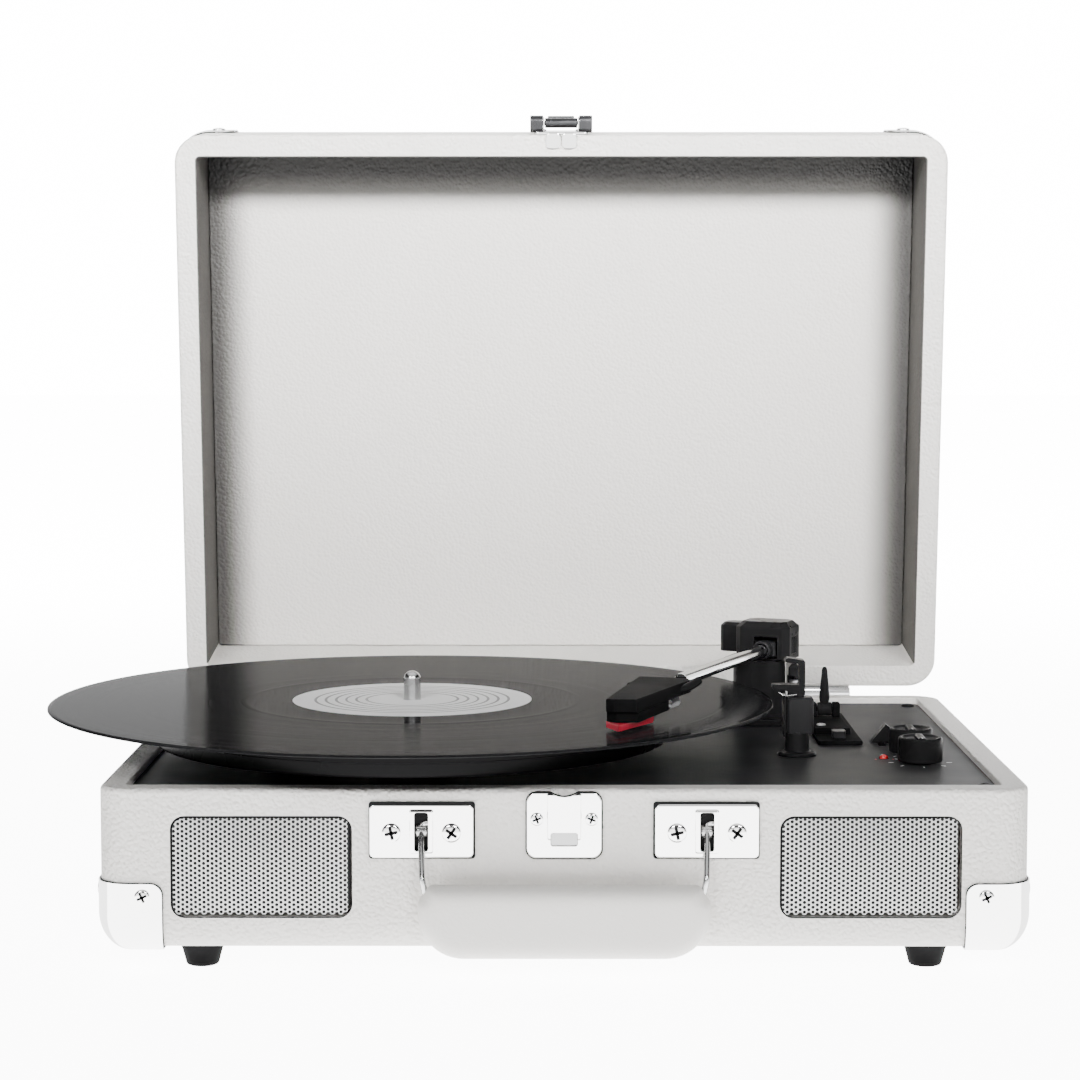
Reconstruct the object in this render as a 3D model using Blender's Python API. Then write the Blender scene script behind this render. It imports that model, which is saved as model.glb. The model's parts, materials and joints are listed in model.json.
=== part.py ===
"""Suitcase record player, open, with a record on its platter.

Sizes are millimetres in a working frame: X to the right, Y from the case's front face to the back,
Z up from the floor. at() moves them to the part's own frame in metres, whose origin is under the
middle of the whole object. The lid is drawn closed and is turned open about its hinge axis.
"""
import math

import bmesh
import bpy
from mathutils import Matrix, Vector

MM = 0.001
GAP = 0.3                      # clearance between pieces that touch or rest on each other

# Case
CASE_W, CASE_D = 356.0, 260.0
CASE_BOTTOM, RIM = 10.0, 71.5
WALL = 10.2
EDGE_R, FLAT_R = 13.0, 12.0    # vertical edges, and the edges round the flat bottom and top
RIM_R = 2.2
EDGE_STEPS = 4
LEDGE_Z, FLOOR_T = 66.0, 6.0
DECK_TOP = 69.0

# Lid, drawn closed
LID_BOTTOM, LID_H = 72.1, 50.0
LID_TOP = LID_BOTTOM + LID_H
LID_SKIN = 6.0
HINGE_Y, HINGE_Z = 263.8, 71.0
LID_OPEN = math.radians(84.0)
HINGE_X, HINGE_W = 118.5, 38.0

# Record, platter and drive
DISC_X, DISC_Y = -63.0, 111.0
RECORD_TOP, RECORD_T, RECORD_R = 90.4, 1.3, 150.8
SPINDLE_R, SPINDLE_TOP = 3.55, 102.4
PLATTER_TOP, PLATTER_R = 87.0, 108.0
DRIVE_RING_R, PULLEY_R, PULLEY_OFFSET = 70.5, 5.0, 92.0
PULLEY_ANGLE = math.radians(135.0)
MOTOR_X = DISC_X + PULLEY_OFFSET * math.cos(PULLEY_ANGLE)
MOTOR_Y = DISC_Y + PULLEY_OFFSET * math.sin(PULLEY_ANGLE)

# Tonearm, whose pivot frame has +Y from the pivot to the back along the arm
PIVOT_X, PIVOT_Y, ARM_Z = 94.4, 194.8, 102.3
ARM_YAW = -math.radians(22.3)
TUBE_R, TUBE_START, TUBE_END = 2.8, 8.0, 122.0

# Hardware on the front
SPEAKER_X, SPEAKER_Z = 115.9, 42.0
GRILLE_W, GRILLE_H = 69.4, 38.8
HANDLE_X, HANDLE_PIVOT_Y, HANDLE_PIVOT_Z = 54.2, 1.6, 58.0
GRIP_W, GRIP_H, GRIP_T = 110.6, 28.0, 14.0
GRIP_Y, GRIP_Z = -9.8, 22.6
GRIP_R, GRIP_CORNER, GRIP_STEPS = 5.0, 16.0, 3
CORNER_REACH = 25.0
FOOT_X, FOOT_FRONT, FOOT_BACK = 140.0, 18.0, 240.0

KNOBS = {"knob_volume": (145.6, 77.7), "knob_mode": (145.0, 102.5)}
KNOB_R = 9.1
REST_X, REST_Y = 97.0, 96.0
LEVER_X, LEVER_Y, LEVER_Z = 116.5, 176.0, 77.0
PANEL_X, PANEL_Z = 0.0, 41.0
SELECTOR_X, SELECTOR_Y = 135.8, 130.0
STOP_X, STOP_Y = 118.0, 130.5

# Middle of the whole object in the working frame
MIDDLE_X, MIDDLE_Y = -17.4, 137.1

FINISH = {                     # colour, roughness, metallic
    "leatherette": ((0.70, 0.69, 0.67), 0.62, 0.0),
    "liner": ((0.72, 0.70, 0.68), 0.80, 0.0),
    "deck": ((0.045, 0.046, 0.048), 0.42, 0.0),
    "plastic": ((0.022, 0.022, 0.024), 0.35, 0.0),
    "rubber": ((0.03, 0.03, 0.03), 0.85, 0.0),
    "chrome": ((0.82, 0.82, 0.82), 0.12, 1.0),
    "steel": ((0.55, 0.55, 0.56), 0.32, 1.0),
    "grille": ((0.75, 0.75, 0.74), 0.40, 0.6),
    "vinyl": ((0.012, 0.012, 0.013), 0.18, 0.0),
    "stylus": ((0.60, 0.02, 0.05), 0.30, 0.0),
    "board": ((0.02, 0.16, 0.07), 0.50, 0.0),
    "lamp": ((0.70, 0.02, 0.02), 0.20, 0.0),
}


def at(x, y, z):
    """A point of the working frame, in the part's frame and in metres."""
    return Vector(((x - MIDDLE_X) * MM, (y - MIDDLE_Y) * MM, z * MM))


def clear_scene():
    for old in list(bpy.data.objects):
        bpy.data.objects.remove(old, do_unlink=True)


def make_material(name):
    colour, roughness, metallic = FINISH[name]
    material = bpy.data.materials.get(name) or bpy.data.materials.new(name)
    material.use_nodes = True
    shader = material.node_tree.nodes["Principled BSDF"]
    shader.inputs["Base Color"].default_value = (*colour, 1.0)
    shader.inputs["Roughness"].default_value = roughness
    shader.inputs["Metallic"].default_value = metallic
    return material


def place(name, mesh, where, finish, parent=None, turn=None):
    """Link an object whose mesh is in millimetres round `where`, a point in metres."""
    mesh.transform(Matrix.Scale(MM, 4))
    item = bpy.data.objects.new(name, mesh)
    bpy.context.scene.collection.objects.link(item)
    item.location = where
    if turn is not None:
        item.rotation_euler = turn
    if parent is not None:
        item.parent = parent
    if finish:
        mesh.materials.append(make_material(finish))
    return item


def to_mesh(bm, name):
    """Close a bmesh into a mesh with its faces pointing out and its round faces shaded smooth."""
    bmesh.ops.remove_doubles(bm, verts=bm.verts, dist=1e-4)
    bmesh.ops.recalc_face_normals(bm, faces=bm.faces)
    if bm.calc_volume(signed=True) < 0.0:
        bmesh.ops.reverse_faces(bm, faces=bm.faces)
    mesh = bpy.data.meshes.new(name)
    bm.to_mesh(mesh)
    bm.free()
    mesh.shade_smooth()
    mesh.set_sharp_from_angle(angle=math.radians(35.0))
    return mesh


def marker(name, where, turn=(0.0, 0.0, 0.0), parent=None):
    """An empty on a joint's axis, which carries the pieces that move with it."""
    empty = bpy.data.objects.new(name, None)
    bpy.context.scene.collection.objects.link(empty)
    empty.location = where
    empty.rotation_euler = turn
    if parent is not None:
        empty.parent = parent
    return empty


def box(low, high, edge=0.0, bottom=0.0, top=0.0, steps=EDGE_STEPS):
    """A box with rounded upright edges, and optionally rounded edges round its bottom and top."""
    bm = bmesh.new()
    size = [b - a for a, b in zip(low, high)]
    centre = [(a + b) / 2 for a, b in zip(low, high)]
    bmesh.ops.create_cube(bm, size=1.0, matrix=Matrix.Translation(centre) @ Matrix.Diagonal((*size, 1.0)))

    def bevel(edges, radius):
        bmesh.ops.bevel(bm, geom=edges, offset=radius, offset_type="OFFSET", segments=steps,
                        profile=0.5, affect="EDGES", clamp_overlap=True)

    if edge:
        bevel([e for e in bm.edges if abs(e.verts[0].co.z - e.verts[1].co.z) > size[2] / 2], edge)
    for radius, level in ((bottom, low[2]), (top, high[2])):
        if radius:
            bevel([e for e in bm.edges if all(abs(v.co.z - level) < 1e-4 for v in e.verts)], radius)
    return bm


def prism(outline, low, high):
    """An outline of (x, y) points, extruded from low to high along Z."""
    bm = bmesh.new()
    face = bm.faces.new([bm.verts.new((x, y, low)) for x, y in outline])
    extruded = bmesh.ops.extrude_face_region(bm, geom=[face])
    tops = [v for v in extruded["geom"] if isinstance(v, bmesh.types.BMVert)]
    bmesh.ops.translate(bm, verts=tops, vec=(0.0, 0.0, high - low))
    return bm


def turned(profile, steps=32):
    """A profile of (radius, height) points turned round Z. It closes on the axis or on itself."""
    bm = bmesh.new()
    rings = []
    for radius, height in profile:
        if radius == 0.0:
            rings.append([bm.verts.new((0.0, 0.0, height))] * steps)
            continue
        angles = [2 * math.pi * k / steps for k in range(steps)]
        rings.append([bm.verts.new((radius * math.cos(a), radius * math.sin(a), height)) for a in angles])
    open_ended = profile[0][0] == 0.0 and profile[-1][0] == 0.0
    pairs = list(zip(rings, rings[1:]))
    if not open_ended:
        pairs.append((rings[-1], rings[0]))
    for first, second in pairs:
        for k in range(steps):
            after = (k + 1) % steps
            corners = dict.fromkeys((first[k], first[after], second[after], second[k]))
            if len(corners) > 2:
                bm.faces.new(list(corners))
    return bm


def loop_band(outer, inner, low, high):
    """A flat closed band between two outlines that have the same number of points."""
    bm = bmesh.new()
    count = len(outer)
    rows = [[bm.verts.new((x, y, z)) for x, y in line]
            for line, z in ((outer, low), (outer, high), (inner, high), (inner, low))]
    for first, second in zip(rows, rows[1:] + rows[:1]):
        for k in range(count):
            after = (k + 1) % count
            bm.faces.new((first[k], first[after], second[after], second[k]))
    return bm


def rod(radius, low, high, steps=16):
    return turned([(0.0, low), (radius, low), (radius, high), (0.0, high)], steps)


def swung(bm, turn, shift=(0.0, 0.0, 0.0)):
    """Turn a bmesh by an axis letter and an angle in degrees, then shift it."""
    letter, angle = turn
    bm.transform(Matrix.Translation(shift) @ Matrix.Rotation(math.radians(angle), 4, letter))
    return bm


def shaped(item, other, operation):
    """Cut, join or intersect an object with a cutter's bmesh, given in the object's own frame."""
    name = "%s_%s_%d" % (item.name, operation.lower(), len(item.modifiers))
    cutter = place(name, to_mesh(other, name), (0.0, 0.0, 0.0), None, parent=item)
    cutter.hide_render = True
    cutter.display_type = "WIRE"
    step = item.modifiers.new(name, "BOOLEAN")
    step.operation = operation
    step.solver = "EXACT"
    step.object = cutter
    return item


def cut(item, other):
    return shaped(item, other, "DIFFERENCE")


def join(item, other):
    return shaped(item, other, "UNION")


def rounded_outline(width, height, radius, steps=4):
    """Points round a rectangle with rounded corners, centred on the origin."""
    points = []
    for k, (sx, sy) in enumerate(((1, 1), (-1, 1), (-1, -1), (1, -1))):
        for j in range(steps + 1):
            angle = math.pi / 2 * (k + j / steps)
            points.append((sx * (width / 2 - radius) + radius * math.cos(angle),
                           sy * (height / 2 - radius) + radius * math.sin(angle)))
    return points


def upright_plate(width, height, radius, front, back):
    """A rounded plate that stands on edge, facing -Y, with its middle on the origin."""
    return swung(prism(rounded_outline(width, height, radius), -back, -front), ("X", 90))


def base_shell(grow):
    """The case's outer shape, grown outward by a clearance; its top stays at the rim."""
    half = CASE_W / 2 + grow
    return box((-half, -grow, CASE_BOTTOM - grow), (half, CASE_D + grow, RIM),
               edge=EDGE_R + grow, bottom=FLAT_R + grow)


def lid_box(grow):
    """The closed lid's outer shape, grown outward by a clearance, round its hinge axis."""
    half = CASE_W / 2 + grow
    return box((-half, -grow - HINGE_Y, LID_BOTTOM - HINGE_Z),
               (half, CASE_D + grow - HINGE_Y, LID_TOP + grow - HINGE_Z),
               edge=EDGE_R + grow, top=FLAT_R + grow)


def build_case():
    half = CASE_W / 2
    case = place("base_case", to_mesh(box((-half, 0.0, CASE_BOTTOM), (half, CASE_D, RIM), edge=EDGE_R,
                 bottom=FLAT_R, top=RIM_R), "base_case"), at(0, 0, 0), "leatherette")
    inner = half - WALL
    cut(case, box((-inner, WALL, LEDGE_Z), (inner, CASE_D - WALL, RIM + 9), edge=6.0, steps=3))
    cut(case, box((-inner + 4, WALL + 4, CASE_BOTTOM + FLOOR_T), (inner - 4, CASE_D - WALL - 4, LEDGE_Z + 1)))
    for side in (-1, 1):
        middle = (side * SPEAKER_X, 0.0, SPEAKER_Z)
        seat = upright_plate(GRILLE_W + 1.4, GRILLE_H + 1.4, 5.6, -3.0, 3.2)
        seat.transform(Matrix.Translation(middle))
        cut(case, seat)
        hole = upright_plate(62.0, 32.0, 4.0, -3.0, WALL + 8)
        hole.transform(Matrix.Translation(middle))
        cut(case, hole)
        handle_x = side * HANDLE_X
        cut(case, box((handle_x - 5.0, -1.0, 46.0), (handle_x + 5.0, 4.8, 64.5)))
    cut(case, box((PANEL_X - 29, CASE_D - WALL - 8, PANEL_Z - 10), (PANEL_X + 29, CASE_D + 3, PANEL_Z + 10)))
    for side in (-1, 1):
        for y in (FOOT_FRONT, FOOT_BACK):
            foot = [(0.0, 0.0), (5.4, 0.0), (6.6, 1.2), (7.8, CASE_BOTTOM - GAP), (0.0, CASE_BOTTOM - GAP)]
            place("foot_%s_%s" % ("front" if y == FOOT_FRONT else "rear", "left" if side < 0 else "right"),
                  to_mesh(turned(foot, 20), "foot"), at(side * FOOT_X, y, 0), "rubber")


def build_base_corners():
    for side, hand in ((-1, "left"), (1, "right")):
        for y, end in ((0.0, "front"), (CASE_D, "rear")):
            toward = 1 if y == 0.0 else -1
            outer_x, inner_x = side * (CASE_W / 2 + 5), side * (CASE_W / 2 - CORNER_REACH)
            outer_y, inner_y = y - 5 * toward, y + CORNER_REACH * toward
            low = (min(outer_x, inner_x), min(outer_y, inner_y), CASE_BOTTOM - 5)
            high = (max(outer_x, inner_x), max(outer_y, inner_y), CASE_BOTTOM + CORNER_REACH)
            cap = place("corner_base_%s_%s" % (end, hand), to_mesh(box(low, high), "corner"),
                        at(0, 0, 0), "chrome")
            shaped(cap, base_shell(GAP + 0.8), "INTERSECT")
            cut(cap, base_shell(GAP))


def build_deck():
    inner = CASE_W / 2 - WALL - GAP
    deck = place("deck_plate", to_mesh(box((-inner, WALL + GAP, LEDGE_Z + GAP),
                 (inner, CASE_D - WALL - GAP, DECK_TOP), edge=5.7, steps=3), "deck"), at(0, 0, 0), "deck")
    holes = [(DISC_X, DISC_Y, 6.6), (MOTOR_X, MOTOR_Y, 8.0), (132.2, 89.0, 2.2)]
    holes += [(x, y, 4.0) for x, y in KNOBS.values()]
    for x, y, radius in holes:
        cut(deck, swung(rod(radius, LEDGE_Z - 3, DECK_TOP + 3, 20), ("Z", 0), (x, y, 0.0)))
    cut(deck, box((SELECTOR_X - 1.6, SELECTOR_Y - 9, LEDGE_Z - 3), (SELECTOR_X + 1.6, SELECTOR_Y + 9, DECK_TOP + 3)))
    lamp = [(0.0, LEDGE_Z - 2), (1.8, LEDGE_Z - 2), (1.8, DECK_TOP + 0.4), (1.0, DECK_TOP + 1.3), (0.0, DECK_TOP + 1.5)]
    place("power_lamp", to_mesh(turned(lamp, 16), "lamp"), at(132.2, 89.0, 0), "lamp")


def build_speakers():
    for side, hand in ((-1, "left"), (1, "right")):
        grille = upright_plate(GRILLE_W, GRILLE_H, 4.8, -0.9, 2.6)
        place("speaker_grille_" + hand, to_mesh(grille, "grille"), at(side * SPEAKER_X, 0, SPEAKER_Z), "grille")
        driver = [(0.0, 5.0), (5.0, 6.5), (19.0, 0.8), (20.5, 0.0), (23.6, 0.0), (23.6, 2.4), (20.5, 3.2),
                  (12.0, 13.0), (14.0, 13.5), (14.0, 22.0), (0.0, 22.0)]
        place("speaker_driver_" + hand, to_mesh(swung(turned(driver, 22), ("X", -90)), "driver"),
              at(side * SPEAKER_X, WALL + 4 + GAP, SPEAKER_Z - 0.4), "steel")


def build_front_hardware():
    for side, hand in ((-1, "left"), (1, "right")):
        plate = place("handle_plate_" + hand, to_mesh(upright_plate(39.7, 20.8, 1.6, -1.3, -GAP), "plate"),
                      at(side * HANDLE_X, 0, 55.5), "chrome")
        cut(plate, box((-3.1, -5.0, -8.0), (3.1, 5.0, 8.0)))
    keeper = place("latch_keeper", to_mesh(upright_plate(28.5, 25.4, 3.6, -1.3, -GAP), "keeper"),
                   at(0, 0, 57.8), "chrome")
    join(keeper, box((-6.4, -3.6, -2.4), (6.4, -0.6, 12.6)))
    cut(keeper, box((-5.2, -2.6, -9.0), (5.2, 1.0, 15.0)))


def rounded_path(points, radius, steps=4):
    """Points along straight runs whose corners are rounded, for a bent wire."""
    path = [Vector(points[0])]
    for before, corner, after in zip(points, points[1:], points[2:]):
        start = Vector(corner) + (Vector(before) - Vector(corner)).normalized() * radius
        end = Vector(corner) + (Vector(after) - Vector(corner)).normalized() * radius
        for k in range(steps + 1):
            t = k / steps
            path.append(start * (1 - t) ** 2 + Vector(corner) * 2 * t * (1 - t) + end * t ** 2)
    path.append(Vector(points[-1]))
    return path


def wire(name, points, radius, where, finish, parent=None):
    """A bent round wire as a curve with filled ends."""
    curve = bpy.data.curves.new(name, "CURVE")
    curve.dimensions = "3D"
    curve.bevel_depth = radius * MM
    curve.bevel_resolution = 2
    curve.use_fill_caps = True
    spline = curve.splines.new("POLY")
    spline.points.add(len(points) - 1)
    for slot, point in zip(spline.points, points):
        slot.co = (*(point * MM), 1.0)
    curve.materials.append(make_material(finish))
    item = bpy.data.objects.new(name, curve)
    bpy.context.scene.collection.objects.link(item)
    item.location = where
    item.parent = parent
    return item


def stacked(rows):
    """A closed body skinned over rows of points, with flat first and last rows."""
    bm = bmesh.new()
    rings = [[bm.verts.new(point) for point in row] for row in rows]
    for first, second in zip(rings, rings[1:]):
        for k in range(len(first)):
            after = (k + 1) % len(first)
            bm.faces.new((first[k], first[after], second[after], second[k]))
    bm.faces.new(rings[0])
    bm.faces.new(rings[-1][::-1])
    return bm


def grip_outline(inset):
    """The grip seen from the front: clipped upper corners, round lower corners."""
    half_w, half_h, clip = GRIP_W / 2 - inset, GRIP_H / 2 - inset, 5.0 - inset * 0.4
    big = GRIP_CORNER - inset
    right = [(half_w - clip, half_h), (half_w, half_h - clip)]
    for k in range(6):
        angle = math.radians(18.0 * k)
        right.append((half_w - big + big * math.cos(angle), -half_h + big - big * math.sin(angle)))
    return right + [(-x, z) for x, z in reversed(right)]


def build_handle():
    axis = marker("handle_axis", at(0, HANDLE_PIVOT_Y, HANDLE_PIVOT_Z))
    drop, out = GRIP_Z - HANDLE_PIVOT_Z, GRIP_Y - HANDLE_PIVOT_Y
    rows = []
    for k in range(-GRIP_STEPS, GRIP_STEPS + 1):
        lean = math.pi / 2 * k / GRIP_STEPS
        y = math.copysign(GRIP_T / 2 - GRIP_R + GRIP_R * abs(math.sin(lean)), k) if k else 0.0
        rows.append([(x, y, z) for x, z in grip_outline(GRIP_R * (1 - math.cos(lean)))])
    grip = stacked(rows)
    grip.transform(Matrix.Translation((0.0, out, drop)))
    place("handle_grip", to_mesh(grip, "grip"), (0, 0, 0), "leatherette", parent=axis)
    top = drop + GRIP_H / 2 - 2.6
    for side, hand in ((-1, "left"), (1, "right")):
        x = side * HANDLE_X
        points = [(x + 3.6, 0.0, 0.0), (x, 0.0, 0.0), (x, -5.4, -5.4), (x, out, top + 3.5)]
        wire("handle_wire_" + hand, rounded_path(points, 2.0), 1.05, (0, 0, 0), "chrome", parent=axis)


def build_drive():
    bearing = [(3.9, 50.0), (6.2, 50.0), (6.2, DECK_TOP + GAP), (15.0, DECK_TOP + GAP), (15.0, 71.4),
               (6.2, 71.4), (6.2, 80.0), (3.9, 80.0)]
    place("platter_bearing", to_mesh(turned(bearing, 24), "bearing"), at(DISC_X, DISC_Y, 0), "steel")
    pin = [(0.0, 52.0), (SPINDLE_R, 52.0), (SPINDLE_R, SPINDLE_TOP - 2.6), (3.0, SPINDLE_TOP - 1.2),
           (1.8, SPINDLE_TOP - 0.3), (0.0, SPINDLE_TOP)]
    place("spindle", to_mesh(turned(pin, 24), "spindle"), at(DISC_X, DISC_Y, 0), "chrome")
    motor = place("motor", to_mesh(turned([(0.0, 42.0), (16.0, 42.0), (16.0, 64.0), (20.0, 64.0), (20.0, LEDGE_Z),
                  (0.0, LEDGE_Z)], 28), "motor"), at(MOTOR_X, MOTOR_Y, 0), "steel")
    cut(motor, rod(1.5, 56.0, LEDGE_Z + 3))
    pulley = [(0.0, 57.0), (1.0, 57.0), (1.0, 74.4), (PULLEY_R + 1.4, 74.4), (PULLEY_R + 1.4, 75.4),
              (PULLEY_R, 75.8), (PULLEY_R, 80.8), (PULLEY_R + 1.4, 81.2), (PULLEY_R + 1.4, 82.2), (0.0, 82.2)]
    place("motor_pulley", to_mesh(turned(pulley, 24), "pulley"), at(MOTOR_X, MOTOR_Y, 0), "steel")
    build_belt()


def build_belt():
    """A flat belt round the platter's drive ring and the motor pulley, drawn along +X and turned."""
    lines = []
    for extra in (GAP + 1.0, GAP):
        big, small = DRIVE_RING_R + extra, PULLEY_R + extra
        lean = math.acos((big - small) / PULLEY_OFFSET)
        line = []
        for k in range(37):
            angle = lean + (2 * math.pi - 2 * lean) * k / 36
            line.append((big * math.cos(angle), big * math.sin(angle)))
        for k in range(9):
            angle = -lean + 2 * lean * k / 8
            line.append((PULLEY_OFFSET + small * math.cos(angle), small * math.sin(angle)))
        lines.append(line)
    band = loop_band(lines[0], lines[1], 76.2, 80.4)
    place("drive_belt", to_mesh(swung(band, ("Z", math.degrees(PULLEY_ANGLE))), "belt"),
          at(DISC_X, DISC_Y, 0), "rubber")


def build_disc():
    bore = 3.9
    platter = [(bore, PLATTER_TOP), (PLATTER_R - 1, PLATTER_TOP), (PLATTER_R, PLATTER_TOP - 1), (PLATTER_R, 76.0),
               (PLATTER_R - 3, 76.0), (PLATTER_R - 3, 84.0), (DRIVE_RING_R, 84.0), (DRIVE_RING_R, 75.0),
               (DRIVE_RING_R - 2.5, 75.0), (DRIVE_RING_R - 2.5, 84.0), (9.0, 84.0), (9.0, 80.4), (bore, 80.4)]
    where = at(DISC_X, DISC_Y, 0)
    place("platter", to_mesh(turned(platter, 48), "platter"), where, "plastic")
    mat_low, mat_high = PLATTER_TOP + GAP, RECORD_TOP - RECORD_T - GAP
    mat = [(bore, mat_high), (PLATTER_R - 1, mat_high), (PLATTER_R - 1, mat_low), (bore, mat_low)]
    place("platter_mat", to_mesh(turned(mat, 48), "mat"), where, "rubber")
    low = RECORD_TOP - RECORD_T
    record = [(bore, RECORD_TOP), (RECORD_R - 0.5, RECORD_TOP), (RECORD_R, RECORD_TOP - 0.5),
              (RECORD_R, low + 0.3), (RECORD_R - 0.5, low), (bore, low)]
    place("record", to_mesh(turned(record, 90), "record"), where, "vinyl")


def build_tonearm_mounts():
    foot = DECK_TOP + GAP
    pillar = [(0.0, foot), (12.6, foot), (12.6, 73.0), (11.8, 84.0), (11.6, 97.1), (0.0, 97.1)]
    base = place("tonearm_base", to_mesh(turned(pillar, 28), "pillar"), at(PIVOT_X - 5.4, PIVOT_Y, 0), "plastic")
    join(base, box((-18.0, -20.0, foot), (18.0, 20.0, 72.2), edge=4.0, steps=3))
    post = [(0.0, foot), (6.6, foot), (6.4, 70.4), (4.1, 71.2), (4.0, 79.0), (0.0, 79.0)]
    rest = place("arm_rest_post", to_mesh(turned(post, 28), "post"), at(REST_X, REST_Y, 0), "steel")
    join(rest, box((-4.4, -4.2, 78.6), (6.6, 5.2, 93.6), edge=1.2, steps=2))
    hook = [(-10.5, 96.9), (-4.6, 96.3), (-1.5, 93.9), (3.0, 93.9), (3.0, 109.0), (-4.6, 110.0), (-5.4, 108.3),
            (0.6, 107.6), (0.6, 98.9), (-10.5, 98.9)]
    place("arm_rest_clip", to_mesh(swung(prism(hook, -3.2, 3.2), ("X", 90)), "hook"), at(REST_X, REST_Y, 0), "plastic")


def build_controls():
    foot = DECK_TOP + GAP
    plate = place("control_plate", to_mesh(box((108.6, 121.0, foot), (127.4, 205.0, 71.0), edge=1.5, steps=2),
                  "plate"), at(0, 0, 0), "plastic")
    join(plate, box((108.7, 140.4, foot + 0.1), (124.2, 204.9, 73.6)))
    for x in (LEVER_X - 6.6, LEVER_X + 3.6):
        join(plate, box((x, LEVER_Y - 3.4, 73.0), (x + 3.0, LEVER_Y + 3.4, LEVER_Z + 3.0)))
    cut(plate, swung(rod(1.4, -12.0, 12.0), ("Y", 90), (LEVER_X, LEVER_Y, LEVER_Z)))

    lever = place("cue_lever", to_mesh(swung(rod(1.1, -6.2, 6.2), ("Y", 90)), "lever"),
                  at(LEVER_X, LEVER_Y, LEVER_Z), "plastic")
    join(lever, swung(rod(3.0, -3.2, 3.2, 20), ("Y", 90)))
    join(lever, turned([(0.0, 0.5), (1.5, 0.5), (2.4, 6.0), (1.2, 17.6), (0.7, 18.6), (0.0, 18.8)], 16))

    paddle = [(-4.4, 0.0), (4.0, 0.0), (4.0, 6.4), (2.0, 8.0)]
    selector = place("speed_selector", to_mesh(swung(prism(paddle, -2.4, 2.4), ("X", 90)), "selector"),
                     at(SELECTOR_X, SELECTOR_Y, foot), "plastic")
    join(selector, box((-1.2, -1.8, -7.0), (1.2, 1.8, 0.5)))
    place("auto_stop_switch", to_mesh(box((-2.8, -3.6, 0.0), (2.8, 3.6, 3.0), edge=0.8, steps=2), "switch"),
          at(STOP_X, STOP_Y, 71.0 + GAP), "plastic")

    for name, (x, y) in KNOBS.items():
        body = [(0.0, -15.0), (3.0, -15.0), (3.0, 0.0), (KNOB_R, 0.0), (KNOB_R, 8.6), (KNOB_R - 0.8, 9.4), (0.0, 9.4)]
        knob = place(name, to_mesh(turned(body, 30), "knob"), at(x, y, foot + 0.4), "plastic")
        join(knob, box((-1.8, -8.0, 9.0), (1.8, 8.0, 11.2), edge=1.2, steps=2))

    board = place("circuit_board", to_mesh(box((112.0, 56.0, 46.0), (160.0, 126.0, 47.6)), "board"),
                  at(0, 0, 0), "board")
    for x, y in KNOBS.values():
        join(board, swung(rod(8.0, 47.0, 61.0, 24), ("Z", 0), (x, y, 0.0)))
        join(board, swung(rod(5.0, 60.5, LEDGE_Z, 20), ("Z", 0), (x, y, 0.0)))
        cut(board, swung(rod(3.4, 52.0, LEDGE_Z + 3, 20), ("Z", 0), (x, y, 0.0)))


def build_rear_sockets():
    panel = place("jack_panel", to_mesh(upright_plate(70.0, 28.0, 2.0, GAP, 2.0), "panel"),
                  at(PANEL_X, CASE_D, PANEL_Z), "plastic")
    for x in (-20.0, -4.0):
        join(panel, swung(turned([(2.0, 1.0), (4.2, 1.0), (4.2, 9.0), (2.0, 9.0)], 20), ("X", -90), (x, 0.0, 0.0)))
    cut(panel, swung(rod(5.2, -3.0, 6.0, 20), ("X", -90), (18.0, 0.0, 0.0)))
    inlet = [(3.2, 2.6), (4.9, 2.6), (4.9, -10.0), (0.0, -10.0), (0.0, -7.0), (3.2, -7.0)]
    place("power_inlet", to_mesh(swung(turned_cup(inlet), ("X", -90)), "inlet"), at(PANEL_X + 18.0, CASE_D, PANEL_Z), "plastic")


def turned_cup(profile):
    """A turned cup: the profile starts at its lip's inner edge and meets the axis twice."""
    return turned(profile[4:] + profile[:4], 20)


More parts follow.
